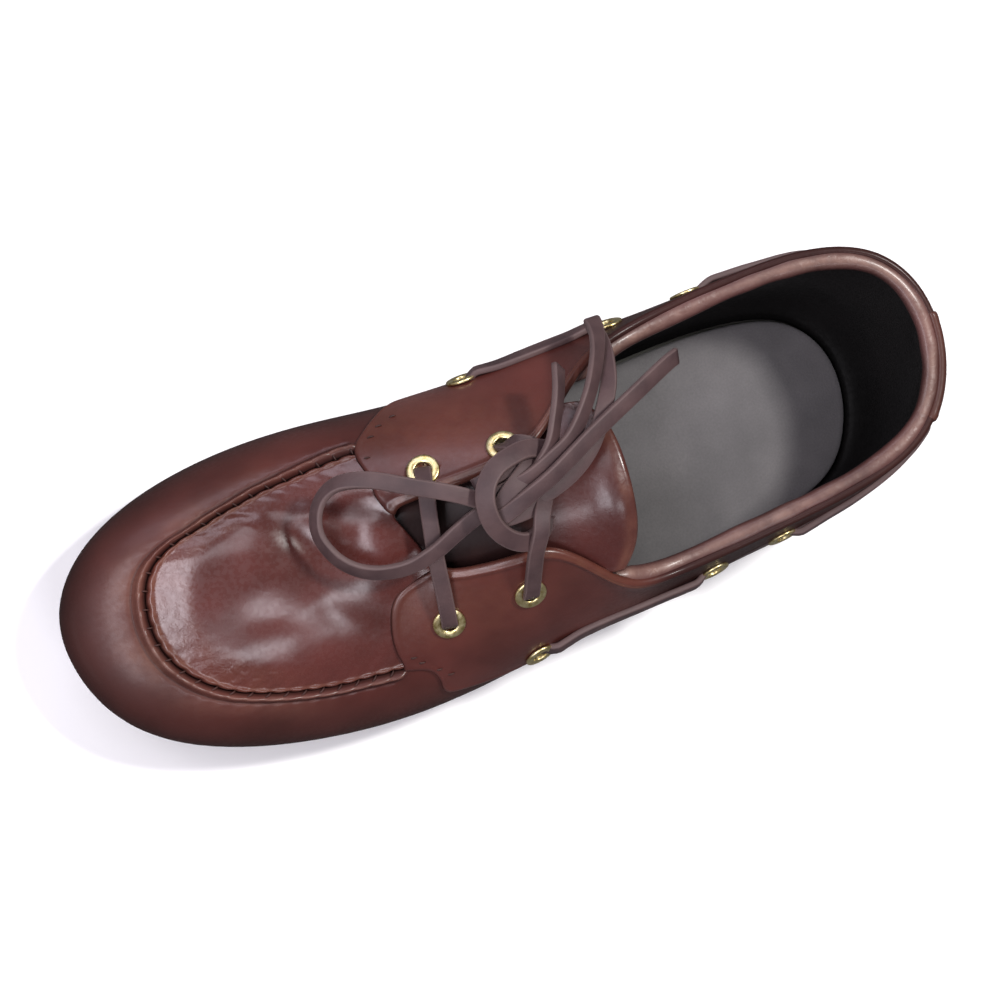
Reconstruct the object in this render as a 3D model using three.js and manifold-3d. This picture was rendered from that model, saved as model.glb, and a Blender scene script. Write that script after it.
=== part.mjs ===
// A boat shoe for the left foot: hand-sewn moccasin upper with a full-length plug, facings
// with four eyelets, a lace run round the padded collar, and a one-piece rubber outsole.
// Millimetres, +Z up, toe along +X, outer side of the foot along +Y. The origin is on the
// floor under the middle of the heel seat.
import * as THREE from "three";
import { mergeVertices } from "three/addons/utils/BufferGeometryUtils.js";
import Module from "manifold-3d";

const wasm = await Module();
wasm.setup();

// Driving sizes of the shoe, outside measurements.
const shoeLength = 268;
const ballWidth = 90;
const instepHeight = 66;
const heelHeight = 73;
const heelSeat = 32; // from the back of the heel to the origin
const gap = 0.3; // air between pieces that touch

const upperWall = 2;
const insoleThickness = 3;
const tongueThickness = 2;
const soleHeel = 8.8; // outsole thickness under the heel
const soleFore = 4.8; // and under the ball
const toeSpring = 15;
const springStart = 168; // the underside is flat from the heel to here
const soleLip = 1; // how far the sole's edge stands past the upper's feather line
const soleBevel = 1.2;
const rollRadius = 2.7;
const lace = { width: 4.4, thickness: 1.8 };
const eyelet = { barrel: 2.7, bore: 2.35, flange: 4.5, hole: 3.12, depth: 2.3, proud: 1.15 };

// The last: one row per spoke round the foot, from the toe by the outer side to the heel and
// back. bulge is the widest point of that spoke and edge its end at the throat or collar;
// feather is how far the upper tucks in under the bulge, rise and crown how far the curve
// keeps going up from the bulge and back from the edge, pitch the slope it arrives with.
const columns = [
  "bulgeX", "bulgeY", "bulgeZ", "feather", "edgeX", "edgeY", "edgeZ", "rise", "crown", "pitch",
];
const spokes = Object.entries({
  toe: [270, -4, 24, 7.5, 173, 1.5, 54, 14, 52, 14],
  toeOut1: [269, 12, 24, 8.5, 172, 3.5, 54, 14, 52, 15],
  toeOut2: [262, 27.5, 23.5, 9, 171, 6, 54, 14, 48, 16],
  toeOut3: [248, 40, 22.5, 9, 170, 8.5, 53.5, 13, 42, 18],
  ballOut1: [226.5, 48.5, 21, 8.5, 169, 11, 53, 12, 36, 20],
  ballOut2: [203, 53, 20, 7, 167, 13.5, 53, 10, 30, 24],
  ballOut3: [181.5, 54.5, 20, 5.5, 164, 16, 55, 10, 24, 27],
  tabOut1: [163, 53.5, 20, 5, 157, 17, 58, 12, 20, 30],
  tabOut2: [147, 51.5, 20, 5, 147, 17.5, 63, 17, 20, 32],
  tabOut3: [131, 48.5, 21, 4.5, 136, 16.5, 66, 18, 17, 38],
  tabOut4: [117, 46.5, 21, 4.5, 124, 27, 62.5, 16, 14, 52],
  collarOut1: [102, 44.5, 22, 4, 112, 36.5, 54, 14, 12, 76],
  collarOut2: [84, 43, 22, 4, 95, 36, 52, 12, 12, 80],
  collarOut3: [65, 40, 22, 3.5, 75, 33.5, 56, 12, 12, 82],
  heelOut1: [45, 38, 22, 3.5, 54, 30, 65, 14, 14, 82],
  heelOut2: [26, 34.5, 22, 3.5, 33, 26, 70, 14, 14, 82],
  heelOut3: [10, 25.5, 23, 4, 14.5, 18, 72.5, 14, 14, 82],
  heel: [0, 4, 24, 4.5, 4, 0, 73, 16, 16, 84],
  heelIn3: [1.5, -19, 30, 5.5, 3, -21.5, 73, 14, 14, 86],
  heelIn2: [17, -36, 34, 6.5, 14, -39, 71, 12, 12, 90],
  heelIn1: [40, -40.5, 34, 7.5, 35, -44.5, 67, 12, 12, 90],
  collarIn3: [62, -40, 34, 7.5, 60, -42.5, 60, 10, 10, 92],
  collarIn2: [84, -39.8, 34, 9.8, 83, -39, 56, 10, 10, 88],
  collarIn1: [103, -39.8, 35, 11.8, 103, -35, 56, 10, 9, 80],
  tabIn4: [118, -39.3, 37, 12.8, 119, -25, 62.5, 11, 12, 60],
  tabIn3: [132, -35.8, 37, 9.3, 132, -13, 67, 13, 14, 38],
  tabIn2: [148, -35, 33, 8, 146, -10, 65.5, 13, 17, 30],
  tabIn1: [165, -35.5, 27, 6, 160, -9, 61, 14, 20, 26],
  ballIn3: [183, -37, 22, 5, 170, -8.5, 57.5, 14, 22, 24],
  ballIn2: [204, -37, 20, 4.5, 175, -7.5, 55, 14, 30, 20],
  ballIn1: [226.5, -34, 21, 5, 175.5, -5, 54, 14, 38, 17],
  toeIn3: [246.5, -27.5, 22.5, 6.5, 175, -3, 54, 14, 46, 15],
  toeIn2: [261.5, -17.5, 23.5, 7, 174, -1, 54, 14, 50, 14],
}).map(([, row]) => Object.fromEntries(columns.map((name, i) => [name, row[i]])));

// Places on the upper, as the spoke they lie on and the height t along it: 0 is the feather
// line, 0.2 the bulge and 1 the edge.
const eyeletPlaces = {
  facing_front_outer: [6.27, 0.82],
  facing_rear_outer: [8.28, 0.83],
  facing_front_inner: [27.28, 0.92],
  facing_rear_inner: [25.64, 0.94],
  side_a_outer: [8.55, 0.41],
  side_b_outer: [12.48, 0.6],
  side_c_outer: [13.62, 0.66],
  side_d_outer: [16.45, 0.83],
  side_a_inner: [25.42, 0.28],
  side_b_inner: [22.5, 0.6],
  side_c_inner: [21.3, 0.67],
  side_d_inner: [17.5, 0.83],
};

// The tongue, front to back: left, middle and right of its upper face across the foot.
const tongueRows = [
  { x: 184, inner: [-11, 44.5], middle: [1, 47.5], outer: [13, 44] },
  { x: 166, inner: [-15, 49.5], middle: [2, 53], outer: [18, 47.5] },
  { x: 148, inner: [-19, 54.5], middle: [2, 60], outer: [22, 53] },
  { x: 130, inner: [-23, 55], middle: [2, 66.3], outer: [26, 55.6] },
  { x: 112, inner: [-19.5, 62.5], middle: [3, 71.5], outer: [27, 60.5] },
];

// Lace routes over the instep, a row per bend.
const routes = {
  loopFront: [
    [155.9, -2.4, 75], [163.5, -6.7, 75.2], [173.6, -11.9, 72], [183, -16.6, 68],
    [190.4, -17.9, 64.5], [195.2, -15.6, 61.5], [198.2, -10.5, 60], [198.3, -4.1, 59],
    [194.3, 3.4, 58.6], [187.3, 8.4, 59.2], [178.3, 10.1, 61.4], [170.1, 8.3, 65.2],
    [162.6, 4.4, 69.3], [156.2, 1.6, 72],
  ],
  loopRear: [
    [134.3, -7.3, 79.4], [125.9, -12.1, 79.8], [117.3, -21.5, 78.2], [110.8, -30, 74.2],
    [106.9, -35.6, 69.8], [104.7, -39.4, 65.8], [103.7, -41.7, 62.6], [103.2, -41.7, 60.6],
    [103, -40.1, 60.1], [103.2, -37.9, 61.9], [104, -34.6, 65.4], [105.7, -30.2, 69.6],
    [108.9, -23.4, 74], [114.2, -15.9, 77], [121, -7.3, 77.6],
    [129, -1.6, 76.8],
  ],
  end: [[134.9, -3.5, 82], [120, -11.3, 82], [103.7, -18.6, 79.8], [87.1, -25.1, 74.8]],
  endShort: [[130.4, -15.2, 78.3], [128.4, -19.2, 78], [125.4, -24.7, 77.2], [122.3, -31.6, 74.6]],
  knot: { at: [143.5, 0, 75.5], size: [8.5, 10, 5.2] },
};

const smooth = (a, b, x) => {
  const u = Math.min(Math.max((x - a) / (b - a), 0), 1);
  return u * u * (3 - 2 * u);
};
const mix = (a, b, u) => a + (b - a) * u;
const scaleX = shoeLength / 268;
const scaleY = ballWidth / 90;
const scaleZ = (x) => mix(heelHeight / 73, instepHeight / 66, smooth(40, 110, x));

// Heights of the outsole along the shoe, x from the back of the heel.
const under = (x) => toeSpring * (Math.max(x / scaleX - springStart, 0) / 100) ** 1.6;
const soleTop = (x) => under(x) + mix(soleHeel, soleFore, smooth(50, 160, x / scaleX));

// A value of the table at a place between spokes, by uniform cubic B-splines.
function between(name, s) {
  const i = Math.floor(s);
  const u = s - i;
  const weights = [
    (1 - u) ** 3,
    3 * u ** 3 - 6 * u * u + 4,
    -3 * u ** 3 + 3 * u * u + 3 * u + 1,
    u ** 3,
  ];
  const count = spokes.length;
  return weights.reduce(
    (sum, w, k) => sum + (w / 6) * spokes[(i + k - 1 + 2 * count) % count][name],
    0,
  );
}

// The bulge point of a spoke and the direction square to the outline there, in plan.
function bulge(s) {
  const plan = (r) =>
    new THREE.Vector2(between("bulgeX", r) * scaleX, between("bulgeY", r) * scaleY);
  const along = plan(s + 0.001).sub(plan(s - 0.001)).normalize();
  const p = plan(s);
  const z = between("bulgeZ", s) * scaleZ(p.x);
  return { point: new THREE.Vector3(p.x, p.y, z), out: new THREE.Vector3(along.y, -along.x, 0) };
}

const bezier = (a, b, c, d, u) =>
  new THREE.Vector3()
    .addScaledVector(a, (1 - u) ** 3)
    .addScaledVector(b, 3 * u * (1 - u) ** 2)
    .addScaledVector(c, 3 * u * u * (1 - u))
    .addScaledVector(d, u ** 3);

const up = new THREE.Vector3(0, 0, 1);
const shift = (p, ...moves) =>
  moves.reduce((q, [direction, by]) => q.addScaledVector(direction, by), p.clone());

// The upper's outside: s runs round the spokes, t up each one.
function lastPoint(s, t) {
  const { point: widest, out } = bulge(s);
  const feather = between("feather", s);
  const foot = shift(widest, [out, -feather]).setZ(0);
  foot.z = soleTop(foot.x) + gap;
  if (t < 0.2) {
    const height = widest.z - foot.z;
    const low = shift(foot, [out, feather * 0.75], [up, height * 0.15]);
    return bezier(foot, low, shift(widest, [up, -height / 2]), widest, t / 0.2);
  }
  const x = between("edgeX", s) * scaleX;
  const edge = new THREE.Vector3(
    x,
    between("edgeY", s) * scaleY,
    between("edgeZ", s) * scaleZ(x),
  );
  const reach = shift(widest, [edge, -1], [out, 6]).setZ(0).normalize();
  const crown = between("crown", s);
  const pitch = THREE.MathUtils.degToRad(between("pitch", s));
  const before = shift(edge, [reach, crown * Math.cos(pitch)], [up, -crown * Math.sin(pitch)]);
  return bezier(widest, shift(widest, [up, between("rise", s)]), before, edge, (t - 0.2) / 0.8);
}

// The same surface moved in along its normal, with both in the part's own frame.
function skinAt(s, t, depth = 0) {
  const p = lastPoint(s, t);
  const around = lastPoint(s + 0.01, t).sub(lastPoint(s - 0.01, t));
  const rising = lastPoint(s, Math.min(t + 0.005, 1)).sub(lastPoint(s, Math.max(t - 0.005, 0)));
  const normal = around.clone().cross(rising).normalize();
  if (t === 0) normal.copy(bulge(s).out);
  p.addScaledVector(normal, -depth);
  p.x -= heelSeat;
  return { p, normal, around: around.normalize(), rising: rising.normalize() };
}

// A skin of shared points and triangles.
class Skin {
  points = [];
  faces = [];
  add(p) {
    return this.points.push(p.x, p.y, p.z) / 3 - 1;
  }
  triangle(a, b, c) {
    this.faces.push(a, b, c);
  }
  quad(a, b, c, d) {
    this.triangle(a, b, c);
    this.triangle(a, c, d);
  }
  geometry() {
    const made = new THREE.BufferGeometry();
    made.setAttribute("position", new THREE.Float32BufferAttribute(this.points, 3));
    made.setIndex(this.faces);
    return made;
  }
}

// Closes a row of rings, each the same number of points, into a tube with flat ends.
function tubeOfRings(rings) {
  const skin = new Skin();
  const ids = rings.map((ring) => ring.map((p) => skin.add(p)));
  const sides = ids[0].length;
  for (let i = 0; i + 1 < ids.length; i++)
    for (let k = 0; k < sides; k++) {
      const next = (k + 1) % sides;
      skin.quad(ids[i][k], ids[i][next], ids[i + 1][next], ids[i + 1][k]);
    }
  for (let k = 1; k + 1 < sides; k++) {
    skin.triangle(ids[0][0], ids[0][k + 1], ids[0][k]);
    const last = ids[ids.length - 1];
    skin.triangle(last[0], last[k], last[k + 1]);
  }
  return skin.geometry();
}

// One ring of a flat or round section: across and through are its two axes.
function ring(centre, across, through, width, thickness, sides) {
  return Array.from({ length: sides }, (_, k) => {
    const a = ((k + 0.5) / sides) * 2 * Math.PI;
    const square = sides === 4 ? Math.SQRT2 : 1;
    return shift(
      centre,
      [across, (Math.cos(a) * width * square) / 2],
      [through, (Math.sin(a) * thickness * square) / 2],
    );
  });
}

const round = 88; // steps round the shoe
const spokeAt = (k) => (k * spokes.length) / round;

function makeUpper() {
  const levels = [0, 0.05, 0.11, 0.2, 0.3, 0.41, 0.52, 0.63, 0.74, 0.84, 0.93, 1];
  const skin = new Skin();
  const rows = (depth) =>
    Array.from({ length: round }, (_, k) =>
      levels.map((t) => skin.add(skinAt(spokeAt(k), t, depth).p)),
    );
  const outer = rows(0);
  const inner = rows(upperWall);
  const top = levels.length - 1;
  for (let k = 0; k < round; k++) {
    const n = (k + 1) % round;
    for (let j = 0; j < top; j++) {
      skin.quad(outer[k][j], outer[n][j], outer[n][j + 1], outer[k][j + 1]);
      skin.quad(inner[k][j + 1], inner[n][j + 1], inner[n][j], inner[k][j]);
    }
    skin.quad(outer[k][top], outer[n][top], inner[n][top], inner[k][top]);
    skin.quad(inner[k][0], inner[n][0], outer[n][0], outer[k][0]);
  }
  let solid = solidOf(skin.geometry());
  for (const [s, t] of Object.values(eyeletPlaces)) {
    const cutter = new THREE.CylinderGeometry(eyelet.hole, eyelet.hole, 9, 12);
    solid = solid.subtract(solidOf(cutter.applyMatrix4(standingOn(s, t))));
  }
  return geometryOf(solid);
}

// A flat piece that follows the sole: outline at its spokes, joined across the foot.
function makeSheet(inset, levels) {
  const skin = new Skin();
  const half = round / 2;
  const rim = (grow, height) =>
    Array.from({ length: round }, (_, k) => {
      const { point, out } = bulge(spokeAt(k));
      const p = shift(point, [out, -inset(spokeAt(k)) - grow]);
      p.z = height(p.x);
      p.x -= heelSeat;
      return skin.add(p);
    });
  const rims = levels.map(({ grow, height }) => rim(grow, height));
  const cap = (ids, flip) => {
    const face = flip ? (a, b, c) => skin.triangle(a, c, b) : (a, b, c) => skin.triangle(a, b, c);
    for (let j = 0; j < half; j++) {
      const [a, b, c, d] = [ids[j], ids[j + 1], ids[(round - j) % round], ids[round - j - 1]];
      if (j > 0) face(a, b, c);
      if (j + 1 < half) face(b, d, c);
    }
  };
  cap(rims[0], true);
  cap(rims[rims.length - 1], false);
  for (let i = 0; i + 1 < rims.length; i++)
    for (let k = 0; k < round; k++) {
      const n = (k + 1) % round;
      skin.quad(rims[i][k], rims[i][n], rims[i + 1][n], rims[i + 1][k]);
    }
  return skin.geometry();
}

const makeOutsole = () =>
  makeSheet((s) => between("feather", s) - soleLip, [
    { grow: soleBevel, height: under },
    { grow: 0, height: (x) => under(x) + soleBevel },
    { grow: 0, height: soleTop },
  ]);

const makeInsole = () =>
  makeSheet((s) => between("feather", s) + upperWall + 0.7, [
    { grow: 0, height: (x) => soleTop(x) + gap },
    { grow: 0, height: (x) => soleTop(x) + gap + insoleThickness },
  ]);

// The tongue: a curved plate through its rows, thickened downwards.
function makeTongue() {
  const steps = 9;
  const across = 10;
  const line = (pick) =>
    new THREE.CatmullRomCurve3(
      tongueRows.map((row) => {
        const [y, z] = pick(row);
        return new THREE.Vector3(row.x * scaleX - heelSeat, y * scaleY, z * scaleZ(row.x));
      }),
    );
  const lines = ["inner", "middle", "outer"].map((side) => line((row) => row[side]));
  const at = (u, v) => {
    const [a, m, c] = lines.map((curve) => curve.getPoint(u));
    const b = shift(m, [m, 1], [a, -0.5], [c, -0.5]);
    return new THREE.Vector3()
      .addScaledVector(a, (1 - v) ** 2)
      .addScaledVector(b, 2 * v * (1 - v))
      .addScaledVector(c, v * v);
  };
  const skin = new Skin();
  const grid = (depth) =>
    Array.from({ length: steps + 1 }, (_, i) =>
      Array.from({ length: across + 1 }, (_, j) => {
        const [u, v] = [i / steps, j / across];
        const back = at(Math.min(u + 0.01, 1), v).sub(at(Math.max(u - 0.01, 0), v));
        const side = at(u, Math.min(v + 0.01, 1)).sub(at(u, Math.max(v - 0.01, 0)));
        const normal = side.cross(back).normalize();
        return skin.add(shift(at(u, v), [normal, -depth]));
      }),
    );
  const top = grid(0);
  const low = grid(tongueThickness);
  for (let i = 0; i < steps; i++)
    for (let j = 0; j < across; j++) {
      skin.quad(top[i][j], top[i][j + 1], top[i + 1][j + 1], top[i + 1][j]);
      skin.quad(low[i][j], low[i + 1][j], low[i + 1][j + 1], low[i][j + 1]);
    }
  for (let i = 0; i < steps; i++) {
    skin.quad(top[i][0], top[i + 1][0], low[i + 1][0], low[i][0]);
    skin.quad(top[i + 1][across], top[i][across], low[i][across], low[i + 1][across]);
  }
  for (let j = 0; j < across; j++) {
    skin.quad(top[0][j + 1], top[0][j], low[0][j], low[0][j + 1]);
    skin.quad(top[steps][j], top[steps][j + 1], low[steps][j + 1], low[steps][j]);
  }
  return skin.geometry();
}

// The padded roll inside the collar, from one facing round the heel to the other.
function makeCollarRoll() {
  const [start, end, steps] = [11.35, 23.7, 52];
  const rings = Array.from({ length: steps + 1 }, (_, i) => {
    const s = mix(start, end, i / steps);
    const { p, normal, around, rising } = skinAt(s, 1);
    const fade = smooth(0, 3, i) * smooth(0, 3, steps - i);
    const radius = rollRadius * mix(0.55, 1, fade);
    const centre = shift(p, [normal, -(upperWall + gap + 0.15 + radius)], [rising, -radius * 0.4]);
    const across = normal.clone().addScaledVector(around, -normal.dot(around)).normalize();
    const through = around.clone().cross(across).normalize();
    return ring(centre, across, through, radius * 2, radius * 2, 8);
  });
  return tubeOfRings(rings);
}

// A matrix that stands a piece's +Y along the upper's normal at a place.
function standingOn(s, t) {
  const { p, normal, rising } = skinAt(s, t);
  const side = rising.clone().cross(normal).normalize();
  const forward = side.clone().cross(normal).normalize();
  return new THREE.Matrix4().makeBasis(side, normal, forward).setPosition(p);
}

function makeEyelet(s, t) {
  const { barrel, bore, flange, depth, proud } = eyelet;
  const profile = [
    [bore, -depth], [barrel, -depth], [barrel, gap + 0.15], [flange, gap + 0.15],
    [flange - 0.4, proud], [bore, proud], [bore, -depth],
  ].map(([r, h]) => new THREE.Vector2(r, h));
  return new THREE.LatheGeometry(profile, 14).applyMatrix4(standingOn(s, t));
}

// A strip of lace along points, each with the direction its flat face looks.
function makeStrip(stations, { width, thickness } = lace, sides = 4) {
  const curve = new THREE.CatmullRomCurve3(stations.map(({ at }) => at));
  const looks = new THREE.CatmullRomCurve3(stations.map(({ look }) => look));
  const steps = Math.max(8, Math.round(curve.getLength() / 5.5));
  const rings = Array.from({ length: steps + 1 }, (_, i) => {
    const u = i / steps;
    const forward = curve.getTangent(u);
    const across = looks.getPoint(u).cross(forward).normalize();
    const through = forward.clone().cross(across).normalize();
    return ring(curve.getPoint(u), across, through, width, thickness, sides);
  });
  return tubeOfRings(rings);
}

// A strip of side lace between two eyelets, lying on the outside of the upper.
function makeSideLace(from, to) {
  const [a, b] = [eyeletPlaces[from], eyeletPlaces[to]];
  const clear = eyelet.proud + 0.4 + lace.thickness / 2;
  return makeStrip(
    [0, 0.25, 0.5, 0.75, 1].map((u) => {
      const { p, normal } = skinAt(mix(a[0], b[0], u), mix(a[1], b[1], u));
      return { at: shift(p, [normal, clear + (u % 1 ? 0 : 1.2)]), look: normal };
    }),
  );
}

// A bar of lace over the tongue between two facing eyelets, lifted in the middle.
function makeBar(from, to, middle) {
  const end = (name) => {
    const { p, normal } = skinAt(...eyeletPlaces[name]);
    return { at: shift(p, [normal, eyelet.proud + 1 + lace.thickness / 2]), look: normal };
  };
  const points = middle.map(([x, y, z]) => ({
    at: new THREE.Vector3(x - heelSeat, y, z),
    look: new THREE.Vector3(0.35, y * 0.012, 1).normalize(),
  }));
  return makeStrip([end(from), ...points, end(to)]);
}

const tube = (route, look = up) =>
  makeStrip(
    route.map(([x, y, z]) => ({ at: new THREE.Vector3(x - heelSeat, y, z), look })),
    lace,
    8,
  );

function makeKnot() {
  const { at, size } = routes.knot;
  return new THREE.SphereGeometry(1, 14, 8)
    .scale(...size)
    .translate(at[0] - heelSeat, at[1], at[2]);
}

function solidOf(geometry) {
  const bare = geometry.clone();
  for (const name of ["normal", "uv"]) bare.deleteAttribute(name);
  const merged = mergeVertices(bare, 1e-4);
  return new wasm.Manifold(
    new wasm.Mesh({
      numProp: 3,
      vertProperties: merged.attributes.position.array,
      triVerts: new Uint32Array(merged.index.array),
    }),
  );
}

function geometryOf(solid) {
  const mesh = solid.getMesh();
  const made = new THREE.BufferGeometry();
  made.setAttribute("position", new THREE.BufferAttribute(mesh.vertProperties, 3));
  made.setIndex(new THREE.BufferAttribute(mesh.triVerts, 1));
  return made;
}

const finish = (color, roughness, metalness = 0) => ({ color, roughness, metalness });
const leather = finish(0x5a302c, 0.35);
const tongueLeather = finish(0x4f2a27, 0.4);
const lining = finish(0x2b1d1c, 0.6);
const rubber = finish(0x4a4944, 0.8);
const footbed = finish(0x5f5c5b, 0.85);
const brass = finish(0xc9b878, 0.25, 1);
const rawhide = finish(0x54403f, 0.6);

const group = new THREE.Group();
function place(name, geometry, look) {
  const mesh = new THREE.Mesh(geometry, new THREE.MeshStandardMaterial(look));
  mesh.geometry.computeVertexNormals();
  mesh.name = name;
  group.add(mesh);
}

place("outsole", makeOutsole(), rubber);
place("insole", makeInsole(), footbed);
place("upper", makeUpper(), leather);
place("tongue", makeTongue(), tongueLeather);
place("collar_roll", makeCollarRoll(), lining);
for (const [name, [s, t]] of Object.entries(eyeletPlaces))
  place("eyelet_" + name, makeEyelet(s, t), brass);

place(
  "lace_front_bar",
  makeBar("facing_front_inner", "facing_front_outer", [
    [166, -6, 63.3], [168, 8, 61.5], [167.5, 19, 57],
  ]),
  rawhide,
);
place(
  "lace_rear_bar",
  makeBar("facing_rear_inner", "facing_rear_outer", [
    [141, -8.5, 69.8], [142, 1, 68.6], [143, 10, 67.4], [143.7, 18.5, 65.4],
  ]),
  rawhide,
);
for (const side of ["outer", "inner"]) {
  place("lace_side_front_" + side, makeSideLace("side_a_" + side, "side_b_" + side), rawhide);
  place("lace_side_rear_" + side, makeSideLace("side_c_" + side, "side_d_" + side), rawhide);
}
place("lace_knot", makeKnot(), rawhide);
place("lace_loop_front", tube(routes.loopFront), rawhide);
place("lace_loop_rear", tube(routes.loopRear), rawhide);
place("lace_end", tube(routes.end), rawhide);
place("lace_end_short", tube(routes.endShort), rawhide);

export default group;
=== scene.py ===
import math
import bpy
import numpy as np
from mathutils import Matrix, Vector


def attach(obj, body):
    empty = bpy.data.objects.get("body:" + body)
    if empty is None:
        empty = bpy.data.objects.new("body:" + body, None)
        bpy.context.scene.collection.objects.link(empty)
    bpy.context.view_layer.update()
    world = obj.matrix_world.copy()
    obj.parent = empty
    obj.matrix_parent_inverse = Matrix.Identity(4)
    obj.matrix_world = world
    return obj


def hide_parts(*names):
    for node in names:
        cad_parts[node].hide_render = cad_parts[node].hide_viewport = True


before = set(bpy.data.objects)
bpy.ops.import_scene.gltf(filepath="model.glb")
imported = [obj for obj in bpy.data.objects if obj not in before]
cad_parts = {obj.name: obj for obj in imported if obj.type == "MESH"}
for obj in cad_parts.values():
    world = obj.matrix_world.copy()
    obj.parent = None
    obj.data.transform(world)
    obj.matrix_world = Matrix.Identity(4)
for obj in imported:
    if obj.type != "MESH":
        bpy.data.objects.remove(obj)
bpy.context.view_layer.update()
bpy.ops.object.select_all(action="DESELECT")
scene = bpy.context.scene
mm = 0.001


camera = {
    "place": (344.6, -24.8, 752.3),  # mm, beyond the toe and high above
    "aim": (103.1, 0.8, 30.0),
    "roll": 79.14,  # degrees, puts the toe to the left
    "lens": 92.87,
    "sensor": 36,
}


def addCamera(c):
    place = Vector(c["place"]) * mm
    back = (place - Vector(c["aim"]) * mm).normalized()
    right = Vector((0, 0, 1)).cross(back).normalized()
    turn = Matrix((right, back.cross(right), back)).transposed()
    turn = turn @ Matrix.Rotation(math.radians(c["roll"]), 3, "Z")
    bpy.ops.object.camera_add(location=place, rotation=turn.to_euler())
    eye = bpy.context.object
    eye.data.lens = c["lens"]
    eye.data.sensor_width = c["sensor"]
    eye.data.clip_start = 0.01
    scene.camera = eye


addCamera(camera)
scene.view_settings.view_transform = "Standard"
print("camera done")


def linear(hexColour, alpha=1.0):  # an sRGB hex colour as Blender's linear colour
    parts = [int(hexColour[i : i + 2], 16) / 255 for i in (1, 3, 5)]
    parts = [p / 12.92 if p <= 0.04045 else ((p + 0.055) / 1.055) ** 2.4 for p in parts]
    return (*parts, alpha)


def node(tree, kind, settings=None, links=None):  # one node, its settings and what feeds it
    made = tree.nodes.new(kind)
    for name, value in (settings or {}).items():
        if name in made.inputs and not hasattr(made, name):
            made.inputs[name].default_value = value
        else:
            setattr(made, name, value)
    for socket, source in (links or {}).items():
        tree.links.new(source, made.inputs[socket])
    return made


def material(name):
    made = bpy.data.materials.new(name)
    made.use_nodes = True
    tree = made.node_tree
    tree.nodes.clear()
    shader = tree.nodes.new("ShaderNodeBsdfPrincipled")
    out = tree.nodes.new("ShaderNodeOutputMaterial")
    tree.links.new(shader.outputs[0], out.inputs[0])
    return made, tree, shader


def ramp(tree, source, stops):  # a colour or grey ramp with its stops
    made = node(tree, "ShaderNodeValToRGB", links={"Fac": source})
    while len(made.color_ramp.elements) < len(stops):
        made.color_ramp.elements.new(0.5)
    for element, (place, colour) in zip(made.color_ramp.elements, stops):
        element.position = place
        element.color = colour if not isinstance(colour, (int, float)) else (colour,) * 3 + (1,)
    return made.outputs["Color"]


def feed(tree, socket, value):  # sets a socket, or links it to what feeds it
    if hasattr(value, "is_linked"):
        tree.links.new(value, socket)
    else:
        socket.default_value = value


def mixColours(tree, amount, a, b, how="MIX"):
    made = node(tree, "ShaderNodeMix", {"data_type": "RGBA", "blend_type": how})
    for k, value in ((0, amount), (6, a), (7, b)):
        feed(tree, made.inputs[k], value)
    return made.outputs[2]


def maths(tree, how, *values):
    made = node(tree, "ShaderNodeMath", {"operation": how})
    for socket, value in zip(made.inputs, values):
        feed(tree, socket, value)
    return made.outputs[0]


def noise(tree, scale, detail, **more):  # scale is in waves to the metre
    place = node(tree, "ShaderNodeTexCoord").outputs["Object"]
    settings = {"Scale": scale, "Detail": detail, **more}
    return node(tree, "ShaderNodeTexNoise", settings, {"Vector": place}).outputs["Fac"]


def mark(tree, name):  # a number painted on the piece's points
    return node(tree, "ShaderNodeAttribute", {"attribute_name": name}).outputs["Fac"]


def dress(tree, shader, values, *bumps):  # the bumps are height, depth in m and strength
    for name, value in values.items():
        feed(tree, shader.inputs[name], value)
    below = {}
    for height, depth, strength in bumps:
        made = node(tree, "ShaderNodeBump", {"Distance": depth}, {"Height": height, **below})
        feed(tree, made.inputs["Strength"], strength)
        below = {"Normal": made.outputs[0]}
    if bumps:
        tree.links.new(made.outputs[0], shader.inputs["Normal"])


# Oiled, glazed cowhide: oxblood with a slow mottle, tan where it is burnished, dark and dull
# under painted shade, fine wrinkles 1 to 2 mm apart where it was pulled, and a thin wax coat.
def glazedLeather(name, dark, light, tan, rough=0.33, coat=0.15):
    made, tree, shader = material(name)
    # painted shade: a mark laid on grooves, creases and walls turned from the light; it mixes the
    # colour towards near-black #1c0f0e and makes it rougher and less shiny
    paintedShade = mark(tree, "paintedShade")
    cloud = ramp(tree, noise(tree, 38, 3), [(0.35, linear(dark)), (0.68, linear(light))])
    streak = ramp(tree, noise(tree, 260, 4), [(0.3, 0.45), (0.65, 1.0)])
    wear = maths(tree, "MULTIPLY", mark(tree, "burnish"), streak)
    colour = mixColours(tree, wear, cloud, linear(tan))
    grain = noise(tree, 750, 2)
    gloss = ramp(tree, grain, [(0.3, rough - 0.05), (0.7, rough + 0.08)])
    dress(tree, shader, {
        "Base Color": mixColours(tree, paintedShade, colour, linear("#1c0f0e")),
        "Roughness": maths(tree, "MULTIPLY_ADD", paintedShade, 0.35, gloss),
        "Specular IOR Level": maths(tree, "MULTIPLY_ADD", paintedShade, -0.42, 0.5),
        "Coat Weight": coat, "Coat Roughness": 0.18, "IOR": 1.42,
    }, (grain, 0.0002, 0.12), (noise(tree, 420, 3, Distortion=0.6), 0.0009, mark(tree, "crinkle")))
    return made


# Cut rawhide lace: matt, waxed, a fibrous surface with slightly paler edges.
def rawhideLace():
    made, tree, shader = material("waxedRawhideLace")
    base = ramp(tree, noise(tree, 110, 2), [(0.3, linear("#382527")), (0.7, linear("#4c3737"))])
    colour = mixColours(tree, mark(tree, "burnish"), base, linear("#655250"))
    dress(tree, shader, {"Base Color": colour, "Roughness": 0.62},
          (noise(tree, 900, 5), 0.0002, 0.45))
    return made


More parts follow.
